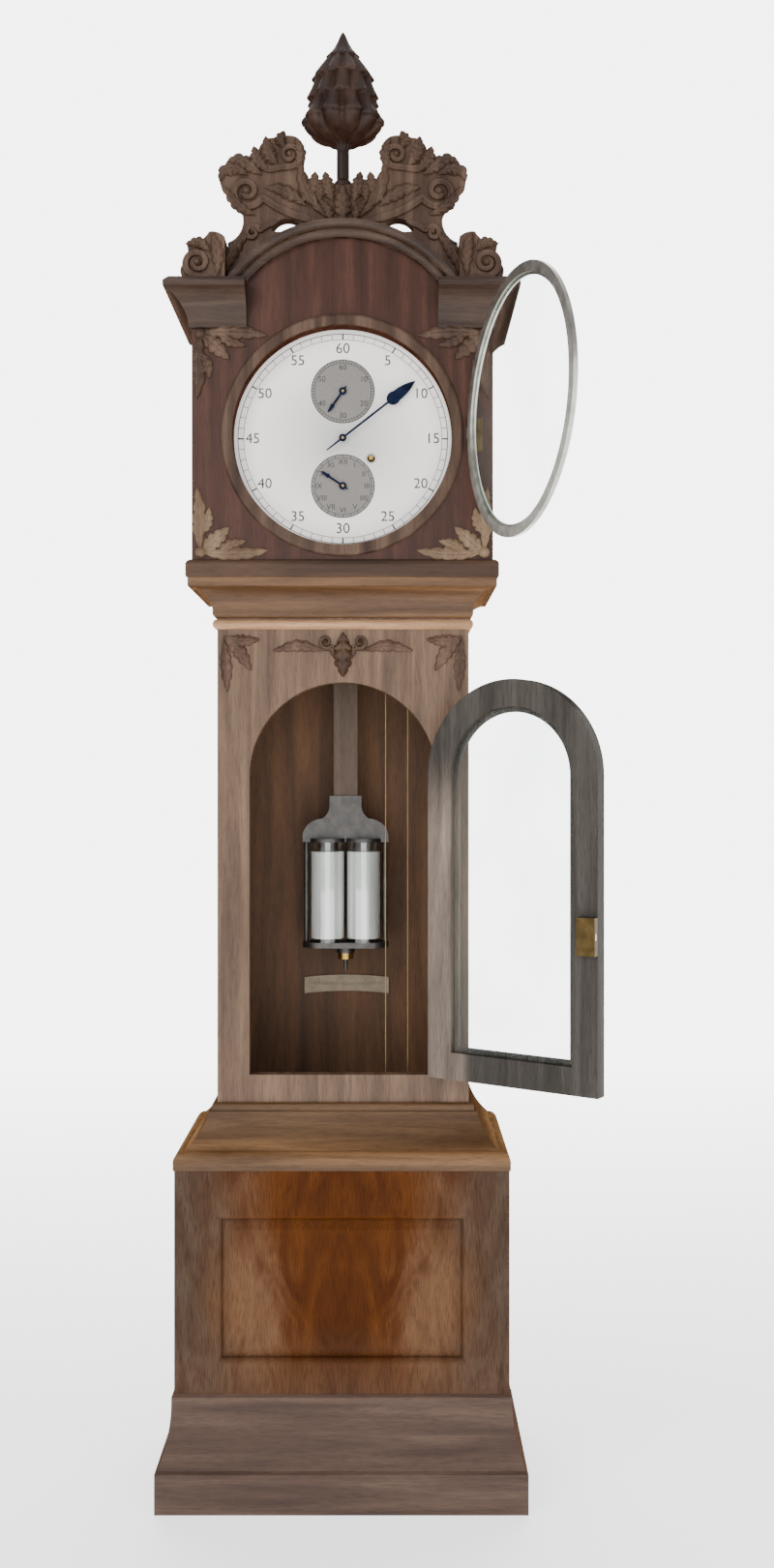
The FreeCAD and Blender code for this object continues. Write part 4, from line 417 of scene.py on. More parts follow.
# Timbers: name, tones, axis of the grain, and what departs from a plain polished board
ACROSS, UP = 0, 2
CARVED = {"gloss": 0.46, "shine": 0.2, "band": 30.0}
MITRED = {"returns": True}
TIMBERS = {
    # Carved mahogany, stained nearly black on the finial, and paler on the lower spandrels, where the paler
    # tone is painted highlight
    "carved": ("Carved mahogany", "2b1d16 463429 5f4b3e", UP, CARVED),
    "carved_level": ("Carved mahogany, level grain", "20150f 35271f 4a392e", ACROSS,
                     {**MITRED, "gloss": 0.46}),
    "black": ("Dark carved mahogany", "1a0f0b 2c1d17 402e25", UP, CARVED),
    "highlit_carved": ("Carved mahogany with painted highlight", "524030 6c5845 846f58", UP, {**CARVED, "gloss": 0.45}),
    "spandrel": ("Carved mahogany of the trunk", "35261d 503c30 695244", UP, CARVED),
    # French polished mahogany: close grain, a soft shine on what faces the room
    "trunk": ("Mahogany of the trunk", "47362a 634d3d 7d6450", UP, {}),
    # The bead's pale tone is partly its own and partly painted highlight for the light caught on its top
    "bead": ("Pale mahogany bead with painted highlight", "987054 b28b69 c4a07e", ACROSS, MITRED),
    "neck": ("Mahogany of the neck", "402b1a 583f2b 725439", ACROSS, MITRED),
    "ledge": ("Mahogany of the ledge", "28190f 3c281c 4d3827", ACROSS, MITRED),
    "waist": ("Mahogany of the waist", "3c2816 523a24 664b31", ACROSS, MITRED),
    "hood": ("Mahogany of the hood", "27140d 392017 492c22", UP, {}),
    "base_side": ("Mahogany of the base sides", "352820 49392f 5d4b3f", UP, {}),
    # Mahogany of the door, greyer and darker than the case, and darker mahogany for the plinth
    "door": ("Mahogany of the door", "2b2825 3d3935 504b46", UP, {"shine": 0.1}),
    "plinth": ("Darker mahogany of the plinth", "35261e 4b382e 5f4b3f", ACROSS, {**MITRED, "gloss": 0.45}),
    # Stained oak of the backboard, plain pine of the hidden boards, varnished deal of the pendulum's rod
    "oak": ("Stained oak", "412d1c 593d28 704f34", UP, {"gloss": 0.55, "shine": 0.3, "band": 34.0}),
    "pine": ("Pine", "8a6a42 a5845a b99a6e", ACROSS, {"gloss": 0.6, "shine": 0.3, "band": 40.0}),
    "rod": ("Varnished deal rod", "48392f 574638 655447", UP, {}),
}

# Figured mahogany of the base: dark middle, amber to each side, plain brown stiles and foot
FLAME_STOPS = [(0.0, "4b2502"), (0.4, "562e09"), (0.62, "5a3d28"), (0.8, "513e30"), (1.0, "4b3c31")]
FLAME_AMBER = "6c4e36"
FLAME_FOOT = "543f31"
FLAME_MIDDLE_Z = 315.0

# Bare metals, a little cloudy from handling, brown where tarnished and dark where blued: name, dark and light
# tone, roughness, and a grain where the metal was drawn
METALS = {
    "brass": ("Polished brass", "9c7836", "c8a55c", 0.22),
    "old_brass": ("Tarnished brass", "41351f", "5f4e30", 0.4),
    "pale_brass": ("Silvered brass ring", "9b9a94", "c4c3bc", 0.3),
    "frame_steel": ("Grey steel of the jar frame", "484645", "5d5b59", 0.42),
    "steel": ("Polished steel", "8d8c8a", "c2c1be", 0.2, (400.0, 400.0, 12.0)),
    "blue": ("Blued steel", "10131f", "1e2740", 0.25),
}

# Satin and matt surfaces, faintly mottled: name, dark and light tone, roughness, grain and metallic share
MOTTLED = {
    "mercury": ("Mercury", "e6e4e2", "faf8f6", 0.3, (40.0, 40.0, 8.0), 0.2),
    "scale": ("Tarnished silvered scale", "74644f", "8b7c66", 0.5, (60.0, 60.0, 60.0), 0.2),
    "iron": ("Blacked cast iron", "141414", "262524", 0.5, (120.0, 120.0, 120.0), 0.4),
    "ink": ("Wax-filled engraving", "0f0e0d", "24211e", 0.6, (300.0, 300.0, 300.0)),
    "gut": ("Gut line", "6f5a34", "9c8557", 0.45, (900.0, 900.0, 300.0)),
    "floor": ("Pale studio floor", "e4e4e3", "ececeb", 0.7, (1.5, 1.5, 1.5)),
}

MATERIALS = {}


def make_materials():
    """All finishes, named for the real material."""
    for finish, (name, tones, along, more) in TIMBERS.items():
        MATERIALS[finish] = wood(name, tones, along, **more)
    for finish, values in METALS.items():
        MATERIALS[finish] = metal(*values)
    for finish, values in MOTTLED.items():
        MATERIALS[finish] = painted(*values)
    MATERIALS["flame"] = zoned_veneer("Flame mahogany veneer", FLAME_STOPS, FLAME_AMBER, FLAME_FOOT,
                                      FLAME_MIDDLE_Z)
    MATERIALS["silver"] = silvered_dial("Silvered brass dial")
    MATERIALS["glass"] = clear_glass("Old window glass", "eef4f0", 0.02, 0.4)
    MATERIALS["jar_glass"] = clear_glass("Jar glass", "f2f6f4", 0.10, 0.03)
    # Painted highlight on the middle of the waist's roll, standing in for light from above on its rounded
    # front
    roll = [("Z", WAIST_ROLL_Z + way * WAIST_ROLL_EDGE, WAIST_ROLL_Z + way * WAIST_ROLL_CORE)
            for way in (-1, 1)]
    bleach(MATERIALS["waist"], (1.9, 1.95, 2.0), *roll)
    # Painted highlight on the open door's hinge stile, standing in for the light it catches, fading out
    # upward where shade falls
    bleach(MATERIALS["door"], (3.4, 3.1, 2.9), ("X", HINGE_STILE_X + HINGE_STILE_FADE, HINGE_STILE_X),
           ("Z", DOOR_HIGHLIGHT_TOP, DOOR_HIGHLIGHT_FULL))
    light_up(MATERIALS["floor"])


CAD_FINISH = {
    "carved": "crest_board shoulder_scrolls dial_surround",
    "black": "finial",
    "carved_level": "cornice arch_moulding",
    "neck": "neck_moulding",
    "ledge": "hood_band",
    "trunk": "trunk_front trunk_sides",
    "waist": "waist_moulding",
    "hood": "hood_front hood_sides",
    "door": "door_frame",
    "plinth": "plinth",
    "flame": "base_panel panel_moulding base_frame",
    "base_side": "base_sides",
    "oak": "backboard",
    "pine": "bottom_board seat_board hood_top",
    "brass": "front_plate back_plate plate_pillars back_cock weight pulley centre_arbor third_wheel "
             "escape_wheel minute_wheel hour_wheel great_wheel barrel rating_nut",
    "old_brass": "fixed_hinge_leaves door_hinge_leaves door_lock bezel_hinge_bracket",
    "pale_brass": "bezel_ring",
    "frame_steel": "jar_frame",
    "rod": "pendulum_rod",
    "steel": "door_hinge_pins lock_bolt suspension_spring pallets",
    "iron": "suspension_bracket",
    "silver": "dial_plate",
    "scale": "beat_scale",
    "blue": "minute_hand hour_hand seconds_hand",
    "glass": "bezel_glass door_glass",
    "jar_glass": "mercury_jars",
    "mercury": "mercury",
    "gut": "weight_line",
}

OTHER_SIDE = np.array([-1.0, 1.0, 1.0])
BACKWARD = np.array([0.0, 1.0, 0.0])


def placed(name, data):
    """A new object in the scene."""
    made = bpy.data.objects.new(name, data)
    bpy.context.scene.collection.objects.link(made)
    return made


class Shell:
    """Gathers sheets of points, in millimetres, into one mesh."""

    def __init__(self):
        self.points = []
        self.faces = []
        self.count = 0

    def add(self, points, wrap_u=False, wrap_v=True):
        """One sheet of points[u, v]. A wrap joins the last row or column to the first."""
        rows, columns = points.shape[:2]
        u = np.arange(rows if wrap_u else rows - 1)
        v = np.arange(columns if wrap_v else columns - 1)
        a, b = np.meshgrid(u, v, indexing="ij")
        c = (a + 1) % rows
        d = (b + 1) % columns
        quads = np.stack([a * columns + b, c * columns + b, c * columns + d, a * columns + d], axis=-1)
        self.faces += (quads.reshape(-1, 4) + self.count).tolist()
        self.points.append(points.reshape(-1, 3))
        self.count += rows * columns

    def add_closed(self, sheet, both=False):
        """One sheet with its ends drawn to a point. With both, also its mirror image across the clock."""
        first, last = (np.repeat(end.mean(axis=1, keepdims=True), sheet.shape[1], axis=1)
                       for end in (sheet[:1], sheet[-1:]))
        sheet = np.concatenate([first, sheet, last])
        self.add(sheet)
        if both:
            self.add(sheet * OTHER_SIDE)

    def add_mesh(self, points, faces):
        """Loose points and faces, such as a letter."""
        self.faces += [[corner + self.count for corner in face] for face in faces]
        self.points.append(np.asarray(points, float))
        self.count += len(points)

    def build(self, name, body, finish, smooth=True):
        """The object, welded, with its faces outward, riding on a body."""
        mesh = bpy.data.meshes.new(name)
        mesh.from_pydata((np.concatenate(self.points) * MM).tolist(), [], self.faces)
        shape = bmesh.new()
        shape.from_mesh(mesh)
        bmesh.ops.remove_doubles(shape, verts=shape.verts, dist=1e-6)
        bmesh.ops.dissolve_degenerate(shape, dist=1e-7, edges=shape.edges)
        bmesh.ops.recalc_face_normals(shape, faces=shape.faces)
        shape.to_mesh(mesh)
        shape.free()
        mesh.polygons.foreach_set("use_smooth", np.full(len(mesh.polygons), smooth))
        made = placed(name, mesh)
        mesh.materials.append(MATERIALS[finish])
        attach(made, body)
        return made


def circle(count):
    """Angles evenly round a circle."""
    return np.linspace(0.0, 2 * math.pi, count, endpoint=False)


def across(path):
    """Unit vectors at right angles to a path in X and Z, to its left."""
    run = np.gradient(path, axis=0)
    run /= np.linalg.norm(run, axis=1, keepdims=True) + 1e-9
    return np.stack([-run[:, 1], run[:, 0]], axis=1)


def moved(points, right, up):
    """Points in X and Z, moved right and up."""
    return [(x + right, z + up) for x, z in points]


def sweep(path, width, height, ground, hollow=0.0, sections=24):
    """Carved strand on an upright ground. The path runs in X and Z; at each point of it the section is a
    flattened dome, width to each side and height to the front, closed behind. The hollow sinks the middle
    between two rims."""
    side = across(path)
    turn = circle(sections)
    reach = np.cos(turn)
    front = np.sqrt(np.clip(1 - reach ** 4, 0, 1)) * (1 - hollow + hollow * reach ** 2)
    rise = np.where(np.sin(turn) >= 0, front, -0.08)
    x = path[:, :1] + side[:, :1] * width[:, None] * reach[None, :]
    z = path[:, 1:] + side[:, 1:] * width[:, None] * reach[None, :]
    return np.stack([x, ground - height[:, None] * rise[None, :], z], axis=-1)


def curve(points, count=48):
    """Smooth path through a few points: a chord-length spline with rounded corners."""
    points = np.asarray(points, float)
    step = np.concatenate([[0.0], np.cumsum(np.linalg.norm(np.diff(points, axis=0), axis=1))])
    t = np.linspace(0.0, step[-1], count)
    slope = np.gradient(points, step, axis=0)
    index = np.clip(np.searchsorted(step, t, side="right") - 1, 0, len(points) - 2)
    span = (step[index + 1] - step[index])[:, None]
    s = ((t - step[index]) / span[:, 0])[:, None]
    p0, p1, m0, m1 = points[index], points[index + 1], slope[index] * span, slope[index + 1] * span
    return ((2 * s ** 3 - 3 * s ** 2 + 1) * p0 + (s ** 3 - 2 * s ** 2 + s) * m0
            + (-2 * s ** 3 + 3 * s ** 2) * p1 + (s ** 3 - s ** 2) * m1)


def swell(count, most, start=0.0, peak=0.4):
    """Width along a leaf: nothing at the tip, most at the peak, a share of it at the start."""
    t = np.linspace(0.0, 1.0, count)
    rising = start + (1 - start) * np.sin(np.clip(t / peak, 0, 1) * math.pi / 2)
    falling = np.cos(np.clip((t - peak) / (1 - peak), 0, 1) * math.pi / 2) ** 0.8
    return most * rising * falling + 1e-4


def leaf(shell, points, width, height, ground, lobes, both=True, lean=0.12, curl=0.4):
    """Acanthus leaf along a path. Across it runs from edge to edge, along it from root to tip; the edge is
    scalloped into lobes that lean to the tip, ribs run out to them, a groove marks the middle and the tip
    curls forward."""
    count, columns = 64, 19
    path = curve(points, count)
    side = across(path)
    u = np.linspace(0.0, 1.0, count)[:, None]
    v = np.linspace(-1.0, 1.0, columns)[None, :]
    scallop = np.abs(np.sin(math.pi * lobes * u ** 0.9)) ** 0.5
    half = swell(count, width, 0.3)[:, None] * (0.6 + 0.4 * scallop)
    along = np.clip(u + lean * v ** 2 * (1 - u), 0, 1) * (count - 1)
    middle = [np.interp(along, np.arange(count), path[:, axis]) for axis in (0, 1)]
    normal = [np.interp(along, np.arange(count), side[:, axis]) for axis in (0, 1)]
    dome = 0.55 * np.sqrt(1 - v ** 2 * 0.98) + 0.45 * (1 - np.abs(v))
    ribs = 0.2 * np.cos(2 * math.pi * lobes * u ** 0.9 - 1.6 * np.abs(v) + math.pi) * np.abs(v) ** 0.6
    groove = -0.34 * np.exp(-(v / 0.13) ** 2)
    tip = height * curl * np.clip((u - 0.65) / 0.35, 0, 1) ** 2
    lift = swell(count, height, 0.6, 0.5)[:, None] * (dome + ribs * (1 - v ** 2) + groove + 0.1)
    lift = lift + tip * (1 - 0.6 * v ** 2)
    top = np.stack([middle[0] + normal[0] * half * v, ground - lift, middle[1] + normal[1] * half * v],
                   axis=-1)
    bottom = top[:, -2:0:-1].copy()
    bottom[..., 1] = np.maximum(ground + 0.4 - tip * 0.8, bottom[..., 1] + 0.8)
    shell.add_closed(np.concatenate([top, bottom], axis=1), both)


def eye(shell, centre, size, height, ground, both):
    """Round button in the middle of a volute: a half ball with a flat back."""
    ball = np.linspace(0.0, math.pi / 2, 9)
    turn = circle(24)
    dome = np.stack([centre[0] + size * np.outer(np.sin(ball), np.cos(turn)),
                     ground - height * np.outer(np.cos(ball), np.ones_like(turn)),
                     centre[1] + size * np.outer(np.sin(ball), np.sin(turn))], axis=-1)
    shell.add_closed(dome, both)


def scroll(shell, points, centre, outer, turns, start, width, height, ground, way=1):
    """Pair of scrolls with stems: the stem runs through the points, then winds into a volute round the
    centre, from the outer radius inward, and ends at an eye. The strand is hollowed between two rims and
    narrows to the eye."""
    t = np.linspace(0.0, 1.0, 80)
    angle = math.radians(start) + way * turns * 2 * math.pi * t
    radius = outer * (1 - 0.74 * t ** 0.85)
    spiral = np.stack([centre[0] + radius * np.cos(angle), centre[1] + radius * np.sin(angle)], axis=1)
    path = np.concatenate([curve(list(points) + [spiral[0]], 50)[:-1], spiral])
    share = np.linspace(0.0, 1.0, len(path))
    thin = np.clip(share / 0.12, 0.25, 1.0)
    strand = sweep(path, width * thin * (1 - 0.5 * share), height * (0.7 + 0.3 * share), ground, 0.4)
    shell.add_closed(strand, True)
    eye(shell, centre, outer * 0.27, height * 1.3, ground, True)


def astragal(shell, z, half, out):
    """Half round bead round the front and sides of the trunk: a half circle swept along three straight runs
    that meet in mitres, closed against the boards."""
    turn = np.linspace(-math.pi / 2, math.pi / 2, 13)
    bead = np.stack([out * np.cos(turn), half * np.sin(turn)], axis=1)
    section = np.concatenate([bead, [[-1.0, half], [-1.0, -half]]])
    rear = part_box("backboard")[1][1] / MM
    corners = [(HALF_TRUNK, rear, 1, 0), (HALF_TRUNK, TRUNK_FACE, 1, -1), (-HALF_TRUNK, TRUNK_FACE, -1, -1),
               (-HALF_TRUNK, rear, -1, 0)]
    rows = [np.stack([x + dx * section[:, 0], y + dy * section[:, 0], z + section[:, 1]], axis=1)
            for x, y, dx, dy in corners]
    shell.add_closed(np.array(rows))


def ring_line(shell, x, z, radius, thick, face):
    """Engraved circle: a flat ring, square in section."""
    turn = circle(144)
    inner, outer = radius - thick / 2, radius + thick / 2
    section = [(inner, 0.0), (outer, 0.0), (outer, ENGRAVING_DEPTH), (inner, ENGRAVING_DEPTH)]
    rings = [np.stack([x + r * np.cos(turn), np.full_like(turn, face + y), z + r * np.sin(turn)], axis=-1)
             for r, y in section]
    shell.add(np.stack(rings, axis=1), wrap_u=True)


def tick(shell, x, z, inner, outer, degrees, thick, face):
    """Engraved stroke between two radii, at an angle clockwise from the top."""
    angle = math.radians(degrees)
    out = np.array([math.sin(angle), 0.0, math.cos(angle)])
    side = np.array([math.cos(angle), 0.0, -math.sin(angle)]) * thick / 2
    centre = np.array([x, face, z])
    ends = ((inner, -1), (outer, -1), (outer, 1), (inner, 1))
    prism(shell, [centre + out * radius + side * way for radius, way in ends])


def prism(shell, corners):
    """Thin block behind four corners."""
    near = np.array(corners)
    far = near + BACKWARD * ENGRAVING_DEPTH
    faces = [[0, 1, 2, 3], [7, 6, 5, 4], [0, 4, 5, 1], [1, 5, 6, 2], [2, 6, 7, 3], [3, 7, 4, 0]]
    shell.add_mesh(np.concatenate([near, far]), faces)


def letter(shell, text, size, x, z, radius, degrees, face):
    """Upright numeral centred on a circle, at an angle clockwise from the top."""
    font = bpy.data.curves.new("numeral", "FONT")
    font.body = text
    font.size = size * 1.35
    font.align_x = "CENTER"
    font.align_y = "CENTER"
    font.extrude = NUMERAL_HALF_DEPTH
    font.resolution_u = 4
    holder = placed("numeral", font)
    mesh = bpy.data.meshes.new_from_object(holder.evaluated_get(bpy.context.evaluated_depsgraph_get()))
    flat = np.empty(len(mesh.vertices) * 3)
    mesh.vertices.foreach_get("co", flat)
    flat = flat.reshape(-1, 3)
    angle = math.radians(degrees)
    points = np.stack([x + radius * math.sin(angle) + flat[:, 0], face - flat[:, 2] + NUMERAL_HALF_DEPTH,
                       z + radius * math.cos(angle) + flat[:, 1]], axis=-1)
    shell.add_mesh(points, [list(polygon.vertices) for polygon in mesh.polygons])
    bpy.data.objects.remove(holder)
    bpy.data.curves.remove(font)
    bpy.data.meshes.remove(mesh)


def cord(path, out, radius):
    """Round cord along an upright path, its section slightly three-stranded and twisted along the way."""
    turn = circle(12)
    steps = np.arange(len(path))[:, None] * 0.6
    size = radius * (0.94 + 0.06 * np.cos(3 * turn[None, :] + steps))
    return (path[:, None, :] + (size * np.cos(turn))[..., None] * out[:, None, :]
            + (size * np.sin(turn))[..., None] * BACKWARD[None, None, :])


def point_at(thing, place, target):
    """Stands a light or camera at a place, looking at a target."""
    thing.location = place
    look = np.array(target) - np.array(place)
    flat = math.hypot(look[0], look[1])
    thing.rotation_euler = (math.atan2(flat, -look[2]), 0.0, math.atan2(look[1], look[0]) - math.pi / 2)


def carving(context):
    """Relief and lobes as set for the carving."""
    settings = context.scene.clock_carving
    return settings.relief, settings.lobes


class CLOCK_OT_finish(Operator):
    """Gives every CAD piece its finish"""

    bl_idname = "clock.finish"
    bl_label = "Finish the case and movement"

    def execute(self, context):
        make_materials()
        for finish, names in CAD_FINISH.items():
            for name in names.split():
                mesh = NODES[name].data
                mesh.materials.clear()
                mesh.materials.append(MATERIALS[finish])
        return {"FINISHED"}


# Finial: heights above its foot and radii, in millimetres, up its stem, cup and bud
FINIAL_PROFILE = (
    (0, 14), (6, 14), (10, 10), (60, 10), (64, 13), (67, 13), (70, 23), (75, 40), (82, 53), (90, 62),
    (97, 66), (110, 60), (122, 56), (134, 55), (146, 53), (158, 50), (170, 47), (182, 42), (194, 34),
    (206, 24), (218, 15), (230, 9), (240, 5), (246, 1.5))
FINIAL_WIDEST = 66.0


class CLOCK_OT_finial(Operator):
    """Spear finial: a turned stem, a flared collar of leaves and a bud of overlapping leaves"""

    bl_idname = "clock.finial"
    bl_label = "Carve the finial"

    def execute(self, context):
        count = context.scene.clock_carving.bud_leaves
        span = FINIAL_TOP - FINIAL_LOW
        # Shares of the height: where the cup's leaves start, where the bud's start, and one tier of these
        cup, bud, tier_height = 0.2, 0.41, 0.14
        height, size = np.array(FINIAL_PROFILE).T
        t = np.linspace(0.0, 1.0, 190)
        radius = np.interp(t, height / height[-1], size)
        smooth = np.convolve(np.pad(radius, 3, mode="edge"), np.ones(7) / 7, mode="valid")
        radius = np.where((t > cup) & (t < 0.98), smooth, radius)
        turn = circle(120)
        leafy = (np.clip((t - cup) / 0.06, 0, 1) * np.clip((0.97 - t) / 0.2, 0, 1))[:, None]
        place = np.clip((t - bud) / tier_height, 0, 3.99)
        tier = np.floor(place)
        wave = np.abs(np.cos(count / 2 * turn[None, :] + tier[:, None] * math.pi / 2))
        within = np.mod(place, 1.0)
        lip = np.where(t > bud, 1.0 + 0.12 * (1 - within) ** 2, 1.0)
        furrow = 1.0 - 0.17 * leafy * (1 - wave) ** 1.3
        ring = np.minimum(radius[:, None] * furrow * (lip[:, None] - 0.04 * leafy), FINIAL_WIDEST)
        points = np.stack([ring * np.cos(turn)[None, :], FINIAL_Y + ring * np.sin(turn)[None, :],
                           np.repeat((FINIAL_LOW + t * span)[:, None], len(turn), axis=1)], axis=-1)
        shell = Shell()
        shell.add_closed(points)
        made = shell.build("finial_carved", "hood", "black")
        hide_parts("finial")
        return {"FINISHED"}


# Crest, in millimetres from the middle and above the shoulders. Scrolls: stem, centre, outer radius, turns,
# start in degrees, half width, way round. Leaves: path from root to tip, half width
CREST_SCROLLS = (
    (((30, 103), (66, 112), (104, 128)), (152, 152), 27, 1.35, 200, 8, 1),
    (((140, 198), (118, 188), (98, 190)), (84, 210), 19, 1.3, 260, 6.5, -1),
    (((100, 104), (118, 99)), (143, 86), 13, 1.25, 160, 6, -1),
)
CREST_LEAVES = (
    (((138, 114), (154, 122), (172, 138), (188, 160)), 11),
    (((150, 178), (172, 188), (188, 184), (195, 168)), 12),
    (((128, 178), (150, 194), (168, 203), (184, 198)), 13),
    (((118, 184), (134, 202), (141, 224)), 13),
    (((104, 192), (118, 216), (122, 240)), 13),
    (((92, 220), (98, 234), (92, 248)), 11),
    (((58, 128), (80, 146), (100, 156), (124, 158)), 12),
    (((28, 112), (44, 132), (62, 166), (68, 204)), 12),
    (((72, 186), (67, 212), (74, 238)), 10),
    (((64, 134), (54, 150), (46, 166), (43, 184)), 14),
    (((37, 134), (36, 152), (36, 172)), 10),
    (((148, 86), (168, 66), (180, 44), (186, 20)), 12),
    (((18, 100), (24, 122), (38, 140)), 10),
    (((17, 136), (23, 156), (28, 184)), 13),
)
CREST_MIDDLE_LEAF = (((0, 98), (0, 130), (0, 163)), 15)


class CLOCK_OT_crest(Operator):
    """Leaf scrolls over the pierced crest board, and the leaves round its pedestal"""

    bl_idname = "clock.crest"
    bl_label = "Carve the crest"

    def execute(self, context):
        depth, lobes = carving(context)
        z = SHOULDER_Z
        ground = CREST_FACE
        shell = Shell()
        for stem, centre, *winding, way in CREST_SCROLLS:
            scroll(shell, moved(stem, 0, z), moved([centre], 0, z)[0], *winding, depth, ground, way)
        for points, width in CREST_LEAVES:
            leaf(shell, moved(points, 0, z), width, depth, ground, lobes)
        points, width = CREST_MIDDLE_LEAF
        leaf(shell, moved(points, 0, z), width, depth * 1.2, ground, lobes, both=False)
        made = shell.build("crest_carving", "hood", "carved")
        return {"FINISHED"}


# Shoulders, in millimetres from their outer edge and above their foot. Spandrels: leaves fanned from a corner
SHOULDER_SCROLL = (((-58, 4), (-40, 3)), (-27, 27), 22, 1.4, -80, 7)
SHOULDER_LEAVES = ((((-58, 6), (-58, 40), (-50, 76)), 11), (((-46, 44), (-30, 58), (-8, 56)), 10))
SPANDREL_X = 222.0
SPANDREL_LEAVES = (
    (((0, 0), (-34, 3), (-74, 2), (-106, -3)), 13),
    (((0, 0), (2, -34), (2, -72), (6, -102)), 12),
    (((4, 4), (-20, -16), (-46, -40)), 14),
    (((-24, 6), (-48, -12), (-72, -18)), 10),
    (((4, -24), (-10, -48), (-14, -70)), 10),
)


class CLOCK_OT_shoulders(Operator):
    """Volutes and leaves on the shoulder blocks, and leaves in the corners round the dial"""

    bl_idname = "clock.shoulders"
    bl_label = "Carve the shoulders and spandrels"

    def execute(self, context):
        depth, lobes = carving(context)
        low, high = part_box("shoulder_scrolls")
        ground = low[1] / MM
        base = low[2] / MM
        outer = high[0] / MM
        shell = Shell()
        stem, centre, *winding = SHOULDER_SCROLL
        scroll(shell, moved(stem, outer, base), moved([centre], outer, base)[0], *winding, depth, ground)
        for points, width in SHOULDER_LEAVES:
            leaf(shell, moved(points, outer, base), width, depth, ground, lobes)
        shoulders = shell.build("shoulder_carving", "hood", "carved")
        # The lower spandrels take the paler carved mahogany, a painted highlight
        for name, up, away, finish in (("upper_spandrels", 1, 158, "carved"),
                                       ("lower_spandrels", -1, 184, "highlit_carved")):
            shell = Shell()
            corner = np.array([SPANDREL_X, DIAL_Z + up * away])
            for points, width in SPANDREL_LEAVES:
                path = [corner + np.array([x, up * z]) for x, z in points]
                leaf(shell, path, width, depth * 0.8, HOOD_FACE, lobes)
            eye(shell, corner, 9, depth * 1.2, HOOD_FACE, True)
            shell.build(name, "hood", finish)
        return {"FINISHED"}


# Head of the trunk, in millimetres: the bead's and the carving's place under the neck, the bead's size, and
# the carving from the middle and above its own line
BEAD_DROP = 10
BEAD_HALF = 8.0
BEAD_OUT = 7.0
CARVING_DROP = 22
KEYSTONE_LEAF = (((0, 0), (0, -34), (0, -72)), 17)
KEYSTONE_SCROLL = (((4, -40), (16, -34)), (27, -16), 12, 1.25, 220, 4.5)
TRUNK_LEAVES = (
    (((30, -30), (70, -22), (112, -30)), 10),
    (((190, -8), (164, -14), (132, -12)), 10),
    (((190, -10), (186, -50), (184, -96)), 10),
    (((190, -6), (166, -30), (146, -62)), 12),
)


class CLOCK_OT_trunk_ornament(Operator):
    """Keystone leaf, spandrel leaves and the bead across the head of the trunk"""

    bl_idname = "clock.trunk_ornament"
    bl_label = "Carve the trunk's head"

    def execute(self, context):
        depth, lobes = carving(context)
        top = NECK_Z - CARVING_DROP
        shell = Shell()
        points, width = KEYSTONE_LEAF
        leaf(shell, moved(points, 0, top), width, depth * 1.3, TRUNK_FACE, lobes, both=False)
        stem, centre, *winding = KEYSTONE_SCROLL
        scroll(shell, moved(stem, 0, top), moved([centre], 0, top)[0], *winding, depth, TRUNK_FACE)
        keystone = shell.build("trunk_keystone", "case", "ledge")
        shell = Shell()
        for points, width in TRUNK_LEAVES:
            leaf(shell, moved(points, 0, top), width, depth * 0.7, TRUNK_FACE, lobes)
        spandrels = shell.build("trunk_spandrels", "case", "spandrel")
        shell = Shell()
        astragal(shell, NECK_Z - BEAD_DROP, BEAD_HALF, BEAD_OUT)
        bead = shell.build("trunk_astragal", "case", "bead")
        return {"FINISHED"}


class CLOCK_OT_dial(Operator):
    """Engraved dial: minute ring with numerals, and the seconds and hour rings"""

    bl_idname = "clock.dial"
    bl_label = "Engrave the dial"

    def execute(self, context):
        settings = context.scene.clock_dial
        shell = Shell()
        face = DIAL_FACE - ENGRAVING_PROUD
        outer = settings.ring
        inner = outer - MINUTE_BAND
        for radius, thick in ((outer, 1.2), (inner, 0.8)):
            ring_line(shell, 0, DIAL_Z, radius, thick, face)
        for minute in range(60):
            thick = 2.2 if minute % 5 == 0 else 0.9
            tick(shell, 0, DIAL_Z, inner, outer, minute * 6, thick, face)
        for hour in range(1, 13):
            letter(shell, str(hour * 5), settings.numeral, 0, DIAL_Z, inner - settings.numeral * 0.85,
                   hour * 30, face)
        seconds = [str(n) for n in range(10, 61, 10)]
        hours = "I II III IIII V VI VII VIII IX X XI XII".split()
        for centre, count, labels in ((DIAL_Z + SUBDIAL_OFFSET, 60, seconds),
                                      (DIAL_Z - SUBDIAL_OFFSET, 24, hours)):
            for radius, thick in ((SUBDIAL_RADIUS, 1.2), (SUBDIAL_INNER, 0.7)):
                ring_line(shell, 0, centre, radius, thick, face)
            for mark in range(count):
                tick(shell, 0, centre, SUBDIAL_INNER, SUBDIAL_RADIUS, mark * 360 / count, 0.8, face)
            for place, label in enumerate(labels, 1):
                letter(shell, label, settings.small_numeral, 0, centre,
                       SUBDIAL_INNER - settings.small_numeral * 0.75, place * 360 / len(labels), face)
        ring_line(shell, middle_of("barrel")[0], middle_of("barrel")[2], WINDING_RING, 0.8, face)
        made = shell.build("dial_engraving", "case", "ink", smooth=False)
        shell = Shell()
        low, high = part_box("beat_scale")
        face = low[1] / MM - ENGRAVING_PROUD
        base = (low[2] + high[2]) / 2 / MM
        for step in range(-BEAT_MARKS, BEAT_MARKS + 1):
            x = step * BEAT_STEP
            tall = 9 if step % 6 == 0 else 5
            tick(shell, x, base + BEAT_SAG * x * x - BEAT_DROP, 0, tall, 0, 0.5, face)
        marks = shell.build("beat_marks", "case", "ink", smooth=False)
        return {"FINISHED"}


